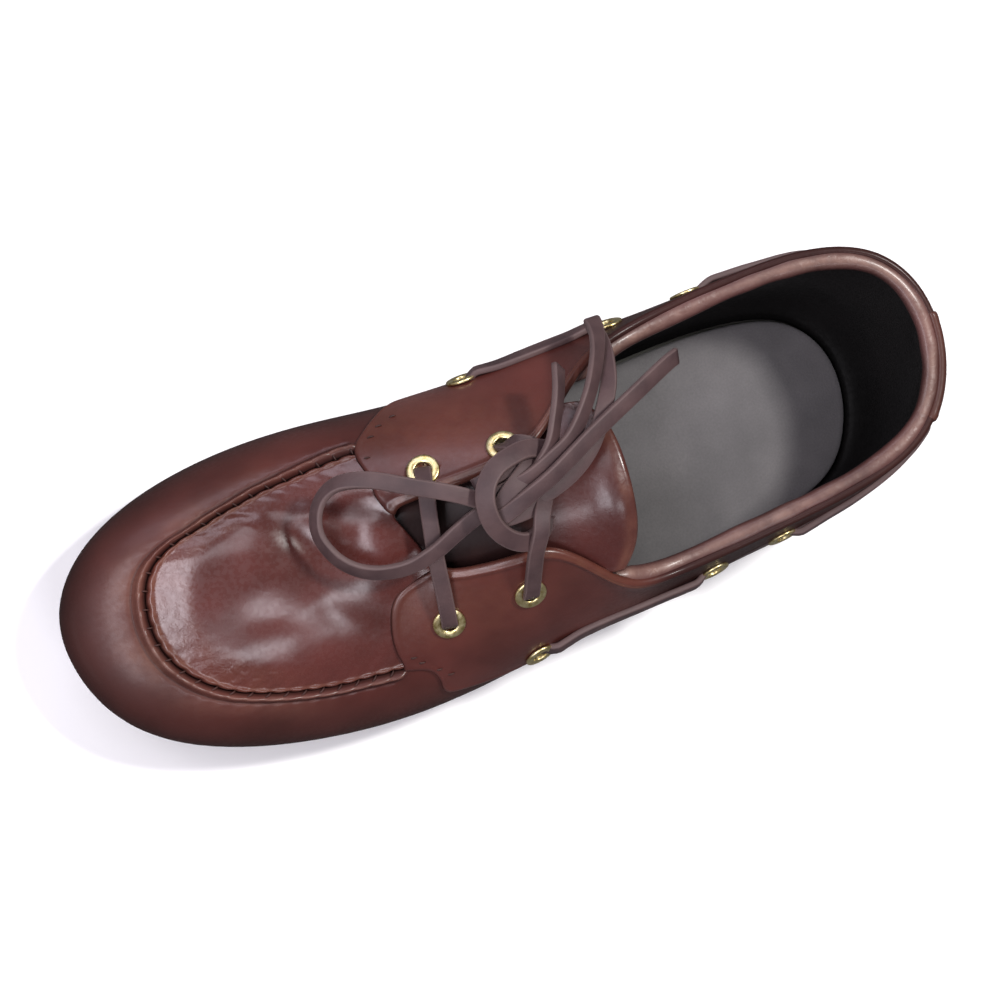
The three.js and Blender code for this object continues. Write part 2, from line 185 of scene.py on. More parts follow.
# Polished cast brass with a pale gold tone and faint handling marks.
def paleBrass():
    made, tree, shader = material("polishedPaleBrass")
    marks = noise(tree, 700, 3)
    tint = ramp(tree, marks, [(0.3, linear("#cdb673")), (0.7, linear("#f2e6b8"))])
    gloss = ramp(tree, marks, [(0.3, 0.26), (0.7, 0.42)])
    dress(tree, shader, {"Base Color": tint, "Roughness": gloss, "Metallic": 1.0})
    return made


# Moulded rubber: matt dark grey with a fine moulded tooth and a little dust.
def mouldedRubber():
    made, tree, shader = material("mouldedDarkRubber")
    base = ramp(tree, noise(tree, 60, 4), [(0.35, linear("#3c3b37")), (0.7, linear("#504f49"))])
    dress(tree, shader, {"Base Color": base, "Roughness": 0.72},
          (noise(tree, 1500, 2), 0.0002, 0.3))
    return made


# Footbed cover: brushed grey microfibre, almost without sheen.
def footbedCloth():
    made, tree, shader = material("brushedGreyFootbed")
    nap = noise(tree, 1400, 4)
    base = ramp(tree, noise(tree, 45, 3), [(0.3, linear("#5a5859")), (0.7, linear("#6b6869"))])
    fleck = ramp(tree, nap, [(0.3, 0.86), (0.7, 1.0)])
    colour = mixColours(tree, 1.0, base, fleck, "MULTIPLY")
    dress(tree, shader, {"Base Color": colour, "Roughness": 0.85, "Sheen Weight": 0.15},
          (nap, 0.0002, 0.35))
    return made


oxblood = glazedLeather("glazedOxbloodCowhide", "#431f1b", "#572b26", "#82593f")
# the vamp's colours are a little darker than the hide's, as painted shade on the lower walls
oxbloodVamp = glazedLeather("oiledOxbloodVamp", "#3f1c18", "#522722", "#8a6152", coat=0.1)
oxbloodPlug = glazedLeather(  # polished more than the rest
    "polishedOxbloodPlug", "#43201c", "#582b27", "#82593f", 0.26, 0.5)
oxbloodSoft = glazedLeather("softOxbloodTongue", "#391a18", "#4b2421", "#754d3e", 0.34, 0.3)
collarHide = glazedLeather("paddedCollarHide", "#3e2523", "#593836", "#9a7a6d", 0.42)
blackLining = glazedLeather("blackCalfLining", "#080707", "#100e0e", "#1c1817", 0.5, 0.1)
thread = glazedLeather("waxedSewingThread", "#2c1513", "#3d1f1b", "#5a3a2c", 0.6, 0)
rawhide = rawhideLace()
brass = paleBrass()
rubber = mouldedRubber()
footbed = footbedCloth()
print("materials done")


# One row per spoke round the foot, from the toe by the outer side to the heel and back, mm.
# bulge x y z, feather, edge x y z, rise, crown, pitch in degrees.
heelSeat = 32  # from the back of the heel to the origin
spokes = np.array([
    (270, -4, 24, 7.5, 173, 1.5, 54, 14, 52, 14),  # toe
    (269, 12, 24, 8.5, 172, 3.5, 54, 14, 52, 15),
    (262, 27.5, 23.5, 9, 171, 6, 54, 14, 48, 16),
    (248, 40, 22.5, 9, 170, 8.5, 53.5, 13, 42, 18),
    (226.5, 48.5, 21, 8.5, 169, 11, 53, 12, 36, 20),  # ball, outer side
    (203, 53, 20, 7, 167, 13.5, 53, 10, 30, 24),
    (181.5, 54.5, 20, 5.5, 164, 16, 55, 10, 24, 27),
    (163, 53.5, 20, 5, 157, 17, 58, 12, 20, 30),  # facing, outer side
    (147, 51.5, 20, 5, 147, 17.5, 63, 17, 20, 32),
    (131, 48.5, 21, 4.5, 136, 16.5, 66, 18, 17, 38),
    (117, 46.5, 21, 4.5, 124, 27, 62.5, 16, 14, 52),
    (102, 44.5, 22, 4, 112, 36.5, 54, 14, 12, 76),  # collar, outer side
    (84, 43, 22, 4, 95, 36, 52, 12, 12, 80),
    (65, 40, 22, 3.5, 75, 33.5, 56, 12, 12, 82),
    (45, 38, 22, 3.5, 54, 30, 65, 14, 14, 82),
    (26, 34.5, 22, 3.5, 33, 26, 70, 14, 14, 82),
    (10, 25.5, 23, 4, 14.5, 18, 72.5, 14, 14, 82),
    (0, 4, 24, 4.5, 4, 0, 73, 16, 16, 84),  # heel
    (1.5, -19, 30, 5.5, 3, -21.5, 73, 14, 14, 86),
    (17, -36, 34, 6.5, 14, -39, 71, 12, 12, 90),
    (40, -40.5, 34, 7.5, 35, -44.5, 67, 12, 12, 90),
    (62, -40, 34, 7.5, 60, -42.5, 60, 10, 10, 92),  # collar, inner side
    (84, -39.8, 34, 9.8, 83, -39, 56, 10, 10, 88),
    (103, -39.8, 35, 11.8, 103, -35, 56, 10, 9, 80),
    (118, -39.3, 37, 12.8, 119, -25, 62.5, 11, 12, 60),  # facing, inner side
    (132, -35.8, 37, 9.3, 132, -13, 67, 13, 14, 38),
    (148, -35, 33, 8, 146, -10, 65.5, 13, 17, 30),
    (165, -35.5, 27, 6, 160, -9, 61, 14, 20, 26),
    (183, -37, 22, 5, 170, -8.5, 57.5, 14, 22, 24),  # ball, inner side
    (204, -37, 20, 4.5, 175, -7.5, 55, 14, 30, 20),
    (226.5, -34, 21, 5, 175.5, -5, 54, 14, 38, 17),
    (246.5, -27.5, 22.5, 6.5, 175, -3, 54, 14, 46, 15),
    (261.5, -17.5, 23.5, 7, 174, -1, 54, 14, 50, 14),
], float)
spokeCount = len(spokes)
gap = 0.3
wall = 2.0
sole = {"heel": 8.8, "fore": 4.8, "spring": 15, "flatTo": 168, "lip": 1.0, "bevel": 1.2}


def smooth(a, b, x):
    u = np.clip((x - a) / (b - a), 0, 1)
    return u * u * (3 - 2 * u)


def bell(x, centre, width):  # a soft hump
    return np.exp(-(((x - centre) / width) ** 2))


def between(s):  # the table at places between spokes, cubic B-spline
    s = np.asarray(s, float)
    i = np.floor(s).astype(int)
    u = (s - i)[..., None]
    weights = ((1 - u) ** 3, 3 * u**3 - 6 * u * u + 4, -3 * u**3 + 3 * u * u + 3 * u + 1, u**3)
    return sum(w / 6 * spokes[(i + k - 1) % spokeCount] for k, w in enumerate(weights))


def under(x):
    return sole["spring"] * (np.clip(x - sole["flatTo"], 0, None) / 100) ** 1.6


def soleTop(x):
    return under(x) + sole["heel"] + (sole["fore"] - sole["heel"]) * smooth(50, 160, x)


def runOf(p):  # the length along a row of places up to each one
    return np.r_[0, np.cumsum(np.linalg.norm(np.diff(p, axis=0), axis=1))]


def turnOf(i, sides):  # the angle of a point on a round section
    return (i % sides) * 2 * np.pi / sides


def unit(v):
    return v / np.linalg.norm(v, axis=-1, keepdims=True)


def outward(s):  # the widest point of a spoke and the way out from it in plan
    row = between(s)
    along = unit(between(np.asarray(s) + 1e-3)[..., :2] - between(np.asarray(s) - 1e-3)[..., :2])
    out = np.stack([along[..., 1], -along[..., 0], np.zeros(along.shape[:-1])], -1)
    return row, row[..., 0:3], out


def bezier(a, b, c, d, u):
    u = u[..., None]
    v = 1 - u
    return a * v**3 + 3 * b * u * v * v + 3 * c * u * u * v + d * u**3


def lastPoint(s, t):  # the upper's outside: s round the spokes, t from the feather to the edge
    s, t = np.broadcast_arrays(np.asarray(s, float), np.asarray(t, float))
    row, widest, out = outward(s)
    up = np.array([0, 0, 1.0])
    feather, rise, crown = row[..., 3:4], row[..., 7:8], row[..., 8:9]
    foot = widest - out * feather
    foot[..., 2] = soleTop(foot[..., 0]) + gap
    high = widest[..., 2:3] - foot[..., 2:3]
    tuck = foot + out * feather * 0.75 + up * high * 0.15
    low = bezier(foot, tuck, widest - up * high / 2, widest, np.clip(t / 0.2, 0, 1))
    edge = row[..., 4:7]
    reach = widest - edge + out * 6
    reach[..., 2] = 0
    reach = unit(reach)
    pitch = np.radians(row[..., 9:10])
    before = edge + reach * crown * np.cos(pitch) - up * crown * np.sin(pitch)
    top = bezier(widest, widest + up * rise, before, edge, np.clip((t - 0.2) / 0.8, 0, 1))
    made = np.where((t < 0.2)[..., None], low, top)
    made[..., 0] -= heelSeat
    return made


def lastFrame(s, t):  # the point with its outward normal, the way round and the way up
    s, t = np.broadcast_arrays(np.asarray(s, float), np.asarray(t, float))
    p = lastPoint(s, t)
    around = unit(lastPoint(s + 0.01, t) - lastPoint(s - 0.01, t))
    rising = lastPoint(s, np.minimum(t + 0.004, 1)) - lastPoint(s, np.maximum(t - 0.004, 0))
    rising = unit(rising)
    normal = unit(np.cross(around, rising))
    return p, normal, around, rising


def through(points):  # a smooth line through places, as (s, t) rows
    points = np.array(points, float)

    def line(s):
        x, y = points[:, 0], points[:, 1]
        slope = np.gradient(y, x)
        s = np.clip(s, x[0], x[-1])
        i = np.clip(np.searchsorted(x, s) - 1, 0, len(x) - 2)
        h = x[i + 1] - x[i]
        u = (s - x[i]) / h
        return (
            y[i] * (1 + 2 * u) * (1 - u) ** 2 + slope[i] * h * u * (1 - u) ** 2
            + y[i + 1] * u * u * (3 - 2 * u) + slope[i + 1] * h * u * u * (u - 1)
        )

    return line


def clearSelection():
    if bpy.context.object and bpy.context.object.mode != "OBJECT":
        bpy.ops.object.mode_set(mode="OBJECT")
    bpy.ops.object.select_all(action="DESELECT")


def paint(piece, **marks):  # numbers at the points that the materials read
    for name, values in marks.items():
        layer = piece.data.attributes.new(name, "FLOAT", "POINT")
        layer.data.foreach_set("value", np.zeros(len(layer.data)) + values)


def grid(name, columns, rows, lay):  # lay(i, j) gives points in mm and marks
    clearSelection()
    bpy.ops.mesh.primitive_grid_add(x_subdivisions=columns - 1, y_subdivisions=rows - 1, size=2)
    piece = bpy.context.object
    piece.name = name
    flat = np.empty(len(piece.data.vertices) * 3)
    piece.data.vertices.foreach_get("co", flat)
    flat = flat.reshape(-1, 3)
    i = np.rint((flat[:, 0] + 1) / 2 * (columns - 1)).astype(int)
    j = np.rint((flat[:, 1] + 1) / 2 * (rows - 1)).astype(int)
    points, marks = lay(i, j)
    piece.data.vertices.foreach_set("co", (points * mm).ravel())
    paint(piece, **marks)
    piece.data.update()
    bpy.ops.object.shade_smooth()
    return piece


def pick(piece):
    clearSelection()
    bpy.context.view_layer.objects.active = piece
    piece.select_set(True)


def editMesh(piece, step):  # an edit-mode step on the whole mesh
    pick(piece)
    bpy.context.tool_settings.mesh_select_mode = (True, False, False)
    bpy.ops.object.mode_set(mode="EDIT")
    bpy.ops.mesh.select_all(action="SELECT")
    step()
    bpy.ops.object.mode_set(mode="OBJECT")


def weld(piece):
    editMesh(piece, lambda: bpy.ops.mesh.remove_doubles(threshold=2e-6))


def normalsOut(piece):
    editMesh(piece, lambda: bpy.ops.mesh.normals_make_consistent(inside=False))


def faceOut(piece):  # merges what meets and turns the faces outwards
    weld(piece)
    normalsOut(piece)


def modify(piece, kind, **settings):
    pick(piece)
    made = piece.modifiers.new(kind.title(), kind)
    for name, value in settings.items():
        setattr(made, name, value)
    bpy.ops.object.modifier_apply(modifier=made.name)


def thicken(piece, inwards):
    modify(piece, "SOLIDIFY", thickness=inwards * mm, offset=-1.0, use_even_offset=False)


def finishPiece(piece, look, replaced=()):
    piece.data.materials.clear()
    piece.data.materials.append(look)
    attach(piece, "root")
    if replaced:
        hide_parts(*replaced)
    return piece


def deleteFaces(piece, chosen):
    pick(piece)
    for part in (piece.data.vertices, piece.data.edges):
        part.foreach_set("select", np.zeros(len(part), bool))
    piece.data.polygons.foreach_set("select", chosen)
    bpy.ops.object.mode_set(mode="EDIT")
    bpy.context.tool_settings.mesh_select_mode = (False, False, True)
    bpy.ops.mesh.delete(type="FACE")
    bpy.ops.object.mode_set(mode="OBJECT")


def punch(piece, centres, radius):  # takes out the faces round each eyelet's place
    middles = np.empty(len(piece.data.polygons) * 3)
    piece.data.polygons.foreach_get("center", middles)
    middles = middles.reshape(-1, 3) / mm
    near = np.zeros(len(middles), bool)
    for centre in centres:
        near |= np.linalg.norm(middles - centre, axis=1) < radius
    deleteFaces(piece, near)


def joinPieces(name, parts):
    clearSelection()
    for part in parts:
        part.select_set(True)
    bpy.context.view_layer.objects.active = parts[0]
    bpy.ops.object.join()
    parts[0].name = name
    return parts[0]


lace = {"width": 4.8, "thick": 1.9, "corner": 0.6, "step": 1.2}


def roundedSection(width, thick, corner, perCorner=4):
    section = []
    for k, (cx, cy) in enumerate([(1, 1), (-1, 1), (-1, -1), (1, -1)]):
        for a in np.linspace(k * 90, k * 90 + 90, perCorner):
            x = cx * (width / 2 - corner) + corner * math.cos(math.radians(a))
            y = cy * (thick / 2 - corner) + corner * math.sin(math.radians(a))
            section.append((x, y))
    return np.array(section)


def curveThrough(points, step):  # Catmull-Rom through points, resampled to even steps
    p = np.array(points, float)
    p = np.vstack([2 * p[0] - p[1], p, 2 * p[-1] - p[-2]])
    fine = []
    for a, b, c, d in zip(p, p[1:], p[2:], p[3:]):
        u = np.linspace(0, 1, 24, endpoint=False)[:, None]
        fine.append(
            0.5 * (2 * b + (c - a) * u + (2 * a - 5 * b + 4 * c - d) * u**2
                   + (3 * b - a - 3 * c + d) * u**3)
        )
    fine = np.vstack(fine + [p[-2:-1]])
    run = runOf(fine[:, :3])
    at = np.linspace(0, run[-1], max(6, int(run[-1] / step)) + 1)
    return np.stack([np.interp(at, run, fine[:, k]) for k in range(p.shape[1])], 1), run[-1]


# A flat lace along stations of x y z and the way its flat face looks, mm.
def strip(name, stations, width=lace["width"], thick=lace["thick"], endCut=0.0):
    path, length = curveThrough(stations, lace["step"])
    centre, look = path[:, :3], path[:, 3:6]
    forward = unit(np.gradient(centre, axis=0))
    across = unit(np.cross(look, forward))
    face = np.cross(forward, across)
    section = roundedSection(width, thick, min(lace["corner"], thick / 2 - 0.05))
    sides = len(section)

    def lay(i, j):
        row = np.clip(j - 1, 0, len(centre) - 1)  # the first and last rows close the ends
        size = np.where((j == 0) | (j > len(centre)), 0.0, 1.0)[:, None]
        lag = section[i % sides, 0] * endCut * (row >= len(centre) - 2) * size[:, 0]
        p = across[row] * section[i % sides, :1] + face[row] * section[i % sides, 1:]
        p = centre[row] + p * size + forward[row] * lag[:, None]
        worn = np.where(np.abs(section[i % sides, 0]) > width / 2 - 0.35, 0.45, 0.0)
        return p, {"burnish": worn}

    piece = grid(name, sides + 1, len(centre) + 2, lay)
    faceOut(piece)
    return piece, (centre * mm).tolist(), length * mm


# Places on the upper: the spoke and the height along it, as the eyelets stand.
eyeletPlaces = {
    "facing_front_outer": (6.27, 0.82),
    "facing_rear_outer": (8.28, 0.83),
    "facing_front_inner": (27.28, 0.92),
    "facing_rear_inner": (25.64, 0.94),
    "side_a_outer": (8.55, 0.41),
    "side_b_outer": (12.48, 0.6),
    "side_c_outer": (13.62, 0.66),
    "side_d_outer": (16.45, 0.83),
    "side_a_inner": (25.42, 0.28),
    "side_b_inner": (22.5, 0.6),
    "side_c_inner": (21.3, 0.67),
    "side_d_inner": (17.5, 0.83),
}
band = {"thick": 0.9, "round": 0.8}  # the facing and collar band lie this proud of the upper
proud = band["thick"] + 1.0  # an eyelet's top over the upper


def hole(name, depth):  # a place over or in an eyelet's hole, and the way out of it
    p, normal = lastFrame(*eyeletPlaces[name])[:2]
    return p + normal * depth, normal


def barStations(start, finish, middle):  # from hole to hole over the tongue
    a, na = hole(start, 0)
    b, nb = hole(finish, 0)
    way = unit(b - a)
    rows = [[*(a + na * depth - way * back), *look]
            for depth, back, look in ((-1.9, 0, -way), (0.6, 0.1, -way), (2.6, -0.9, na - way))]
    rows += [[x - heelSeat, y, z, *look] for x, y, z, *look in middle]
    return rows + [
        [*(b + nb * depth + way * back), *look]
        for depth, back, look in ((2.6, -0.9, nb + way), (0.6, 0.1, way), (-1.9, 0, way))]


sideLift = [  # how far along a side lace, and how far it stands off there, mm
    (0.0, -1.7), (0.03, 0.1), (0.085, 2.2), (0.14, 2.2), (0.24, 1.8), (0.4, 1.65),
    (0.6, 1.65), (0.76, 1.8), (0.86, 2.2), (0.915, 2.2), (0.97, 0.1), (1.0, -1.7),
]


def sideStations(start, finish):  # from hole to hole along the outside of the upper
    (s0, t0), (s1, t1) = eyeletPlaces[start], eyeletPlaces[finish]
    rows = []
    way = unit(lastPoint(s1, t1) - lastPoint(s0, t0))
    for u, lift in sideLift:
        p, normal = lastFrame(s0 + (s1 - s0) * u, t0 + (t1 - t0) * u)[:2]
        lean = way * (1 - smooth(0, 0.12, u)) - way * smooth(0.88, 1, u)
        rows.append([*(p + normal * lift), *(normal - lean)])
    return rows


bow = {  # from the back of the heel, mm: x y z and the way the flat face looks
    "front": [
        (149, 1, 73.5, 0, 0, 1), (155.9, -2.4, 75, 0, 0.1, 1), (163.5, -6.7, 75.2, 0, 0.2, 1),
        (173.6, -11.9, 72, 0.1, 0.2, 1), (183, -16.6, 68, 0.2, -0.1, 1),
        (190.4, -17.9, 64.5, 0.5, -0.6, 0.7), (195.2, -15.6, 61.5, 0.8, -0.5, 0.35),
        (198.2, -10.5, 60, 1, -0.1, 0.3), (198.3, -4.1, 59, 1, 0.25, 0.35),
        (194.3, 3.4, 58.6, 0.7, 0.7, 0.5), (187.3, 8.4, 59.2, 0.4, 0.8, 0.7),
        (178.3, 10.1, 61.4, 0, 0.7, 0.9), (170.1, 8.3, 65.2, -0.1, 0.4, 1),
        (162.6, 4.4, 69.3, 0, 0.3, 1), (156.2, 1.6, 72, 0, 0.1, 1), (150, 1, 73, 0, 0, 1),
    ],
    "rear": [
        (152.5, -1.8, 74.2, 0, 0, 1), (147, -3, 75.5, 0, 0, 1), (141.3, -4.3, 77.9, -0.1, 0.2, 1),
        (134.3, -7.3, 79.4, -0.1, 0.2, 1), (125.9, -12.1, 79.8, -0.3, 0.3, 1),
        (117.3, -21.5, 78.2, -0.5, 0.2, 0.8), (110.8, -30, 74.2, -0.5, 0, 0.8),
        (106.9, -35.6, 69.8, -0.4, -0.3, 0.8), (104.7, -39.4, 65.8, -0.2, -0.7, 0.7),
        (103.7, -41.7, 62.6, 0, -1, 0.3), (103.2, -41.7, 60.6, 0, -0.9, -0.5),
        (103, -40.1, 60.1, 0, -0.2, -1), (103.2, -37.9, 61.9, 0, 0.5, -0.9),
        (104, -34.6, 65.4, -0.2, 0.4, -0.9), (105.7, -30.2, 69.6, -0.4, 0.2, -0.8),
        (108.9, -23.4, 74, -0.5, -0.2, -0.8), (114.2, -15.9, 77, -0.4, -0.4, -0.8),
        (121, -7.3, 77.6, -0.2, -0.3, -1), (129, -1.6, 76.8, 0, -0.1, -1),
        (138.8, 1.7, 75.6, 0, 0, -1), (147, 2, 74.5, 0, 0, -1),
        (152, 2.6, 73.4, 0, 0, -1),
    ],
    "end": [
        (154, 5, 74.4, 0, 0, 1), (149, 3.1, 76.8, 0, 0, 1), (142.9, 0.2, 79.6, 0, 0.3, 1),
        (134.9, -3.5, 82, 0, 0.4, 1), (120, -11.3, 82, 0.1, 0.4, 1),
        (103.7, -18.6, 79.8, 0.1, 0.4, 1),
        (92, -23.5, 76.6, 0.1, 0.4, 1), (87.1, -25.1, 74.8, 0.1, 0.4, 1),
    ],
    "short": [
        (141, -2.5, 76, 0, 0, 1), (137.1, -6, 77.6, -0.2, 0, 1), (132.6, -11, 78.6, -0.6, 0, 0.8),
        (129.1, -17.6, 78.6, -0.8, -0.1, 0.7), (125.4, -24.7, 77.2, -0.8, -0.1, 0.7),
        (122.3, -31.6, 74.6, -0.7, -0.1, 0.8),
    ],
    "wrap": [
        (131.3, -9.8, 74, 0, 0, 1), (138.1, -12.1, 76.4, 0.1, -0.3, 1),
        (144.5, -11.6, 78.4, 0.2, -0.3, 1), (150.3, -9.7, 79.4, 0.4, -0.2, 1),
        (154.4, -5.7, 79.8, 0.5, -0.1, 1), (155.9, -0.5, 79.2, 0.5, 0.1, 1),
        (154.6, 5.6, 77.2, 0.4, 0.3, 1), (150.6, 10.3, 75, 0.3, 0.4, 1),
        (145.5, 12.6, 73.6, 0.1, 0.4, 1), (140.3, 11, 72.6, 0, 0.3, 1), (137.5, 7, 71.8, 0, 0.2, 1),
    ],
    "cross": [
        (152, 8, 70.6, 0.6, 0.5, 0.6), (151.5, 3, 74.6, 0.5, 0.2, 1), (147, -2, 77, 0.2, 0, 1),
        (140.5, -6.5, 76.6, -0.2, -0.2, 1), (136, -10, 73.6, -0.5, -0.4, 0.7),
        (134.5, -11.5, 70.4, -0.7, -0.5, 0.4),
    ],
    "under": [
        (155, -6, 71, 0, -0.2, 1), (149, -7.5, 73.4, 0, -0.3, 1), (142, -8.5, 74.6, 0, -0.3, 1),
        (136.5, -7, 74, 0, -0.2, 1), (134.5, -3, 72.4, 0, 0, 1),
    ],
    "core": [
        (154, 1.5, 72.6, 0, 0, 1), (148, 1.5, 73.6, 0, 0, 1), (142, 1, 73.8, 0, 0, 1),
        (138, 0, 73, 0, 0, 1),
    ],
}


def bowStrip(name, rows, **more):
    return strip(name, [(x - heelSeat, y, z, *look) for x, y, z, *look in rows], **more)


cords = {  # what each free length stands for and where it ends
    "front": ("laceLoopFront", "lace_loop_front", "object"),
    "rear": ("laceLoopRear", "lace_loop_rear", "object"),
    "end": ("laceEnd", "lace_end", "bare"),
    "short": ("laceEndShort", "lace_end_short", "bare"),
}


knot = {  # the strips laid over each other in the knot
    "wrap": {"width": 5.6, "thick": 2.0}, "cross": {"width": 6.0}, "under": {},
    "core": {"width": 11, "thick": 4.6},
}
bars = {  # places on the bars over the tongue, as in bow
    "front": [(166.5, -9, 63.8, 0.4, -0.2, 1), (167.6, 0, 62.6, 0.4, 0.2, 1),
              (168.2, 10, 60.2, 0.4, 0.4, 1), (167.8, 20, 56.2, 0.3, 0.6, 1)],
    "rear": [(139, -14.5, 71.2, 0.1, -0.1, 1), (134.6, -11.5, 72.6, 0, 0, 1),
             (133.6, -5, 73, 0, 0, 1), (136.6, 1, 74.6, 0, 0, 1), (140.2, 6.5, 77, 0.1, 0, 1),
             (142, 11.5, 76.4, 0.1, 0.4, 1), (143.6, 17.2, 71.6, 0.1, 0.7, 0.8)],
}


def tie(piece, solid):
    finishPiece(piece, rawhide, [solid])


def makeLace():
    for route, (name, solid, finish) in cords.items():
        piece, path, length = bowStrip(name, bow[route], endCut=0.2 * (finish == "bare"))
        tie(piece, solid)
    parts = [bowStrip(name, bow[name], **size)[0] for name, size in knot.items()]
    tie(joinPieces("laceKnot", parts), "lace_knot")
    for part, middle in bars.items():
        rows = barStations(f"facing_{part}_inner", f"facing_{part}_outer", middle)
        tie(strip(f"lace{part.title()}Bar", rows)[0], f"lace_{part}_bar")
    for side in ("outer", "inner"):
        for part, a, b in (("front", "a", "b"), ("rear", "c", "d")):
            rows = sideStations(f"side_{a}_{side}", f"side_{b}_{side}")
            piece = strip(f"laceSide{part.title()}{side.title()}", rows)[0]
            tie(piece, f"lace_side_{part}_{side}")


makeLace()
print("lace done")


seamLine = through([  # the hand-sewn seam round the plug, spoke and height
    (-5.9, 0.712), (-4.77, 0.72), (-4.05, 0.733), (-3.3, 0.72), (-2.8, 0.697), (-2.35, 0.68),
    (-1.97, 0.656), (-1.55, 0.628), (-1.27, 0.598), (-0.95, 0.572), (-0.57, 0.555),
    (-0.17, 0.549), (0.3, 0.545), (0.75, 0.54), (1.25, 0.536), (1.62, 0.536), (2.0, 0.54),
    (2.43, 0.546), (2.88, 0.557), (3.3, 0.574), (3.8, 0.595), (4.45, 0.62), (5.0, 0.643),
    (5.55, 0.657), (6.3, 0.69),
])
seam = {"inner": -5.0, "outer": 5.58, "pitch": 5.2, "crest": 1.5, "groove": 1.0}


def seamRun():  # the seam's length along itself at each spoke, mm
    s = np.linspace(-5.9, 6.3, 600)
    return s, runOf(lastPoint(s, seamLine(s)))


runSpokes, runLengths = seamRun()


def stitchPhase(s):  # 0 at a stitch, 0.5 half way to the next one
    return np.interp(s, runSpokes, runLengths) / seam["pitch"]


def nearStitch(s, width=0.15):
    f = stitchPhase(s)
    return np.exp(-(((f - np.rint(f)) / width) ** 2))


def seamStrength(s):  # the sewn ridge ends a little before the facings
    return smooth(seam["inner"] - 0.12, seam["inner"] + 0.1, s) * (
        1 - smooth(seam["outer"] - 0.06, seam["outer"] + 0.1, s))


def ripple(p, size, seed=0.0):  # slow unevenness, from -1 to 1, without a seam
    x, y, z = (p[..., k] / size for k in range(3))
    return (np.sin(1.7 * x + 2.3 * y + seed) + np.sin(2.9 * y - 1.3 * z + 1.7 * seed)
            + np.sin(2.1 * z + 1.1 * x + 2.9 * seed)) / 3


def vampLift(s, d):  # how far the wrap stands off the last, d mm below its top
    on = seamStrength(s)
    notch = nearStitch(s)
    crest = seam["crest"] * bell(d, 1.75, 1.15) * (1 - 0.2 * notch)
    groove = -seam["groove"] * bell(d, 0, 0.5)
    crease = -0.25 * bell(d, 4.1, 0.8)
    pucker = 0.06 * np.cos(2 * np.pi * stitchPhase(s)) * bell(d, 5.0, 2.0)
    swell = 0.15 * bell(d, 9, 5)
    return on * (crest + groove + crease - pucker + swell)


def plugLift(s, d):  # the same for the plug, d mm in from the seam
    on = seamStrength(s)
    notch = nearStitch(s, 0.17)
    edge = 0.35 * bell(d, 1.6, 0.8)
    groove = -seam["groove"] * bell(d, 0, 0.5) - 0.55 * notch * bell(d, 0.7, 0.7)
    pucker = 0.13 * np.cos(2 * np.pi * stitchPhase(s)) * np.exp(-d / 4.0)
    return on * (edge + groove - pucker)


pillow = {"width": 12.5, "height": 1.9, "from": 196, "full": 216}


def toePillow(s, p, d):  # the plug rises evenly from the seam at the toe, then lies flat
    u = np.clip(d / pillow["width"], 0, 1.2)
    rise = u - 1.25 * np.clip(u - 0.8, 0, None) ** 2
    ahead = smooth(pillow["from"], pillow["full"], p[..., 0] + heelSeat)
    sides = 1 - 0.45 * smooth(0.3, 1.8, np.abs(s))
    return pillow["height"] * rise * ahead * sides


softCreases = [  # soft ridges and troughs on the plug: ends x y, width and height, mm
    ((222, -21), (206, -10), 3.2, 0.55),
    ((214, -19), (199, -4), 3.0, -0.6),
    ((205, -2), (196, 14), 5.0, -0.12),
    ((219, 12), (203, 18), 4.0, -0.25),
    ((199, 16), (186, 26), 4.0, -0.4),
    ((198, -13), (190, -3), 4.0, 0.7),
    ((180.5, -5), (178.5, 13), 6.0, 1.2),
]


def creaseLift(p):
    lift = np.zeros(p.shape[:-1])
    for a, b, width, height in softCreases:
        a, b = np.array(a) - (heelSeat, 0), np.array(b) - (heelSeat, 0)
        way = b - a
        length = np.linalg.norm(way)
        rel = p[..., :2] - a
        u = (rel @ way) / length**2
        off = np.abs(rel[..., 0] * way[1] - rel[..., 1] * way[0]) / length
        lift += height * bell(off, 0, width) * smooth(-0.35, 0.15, u) * (1 - smooth(0.85, 1.35, u))
    return lift


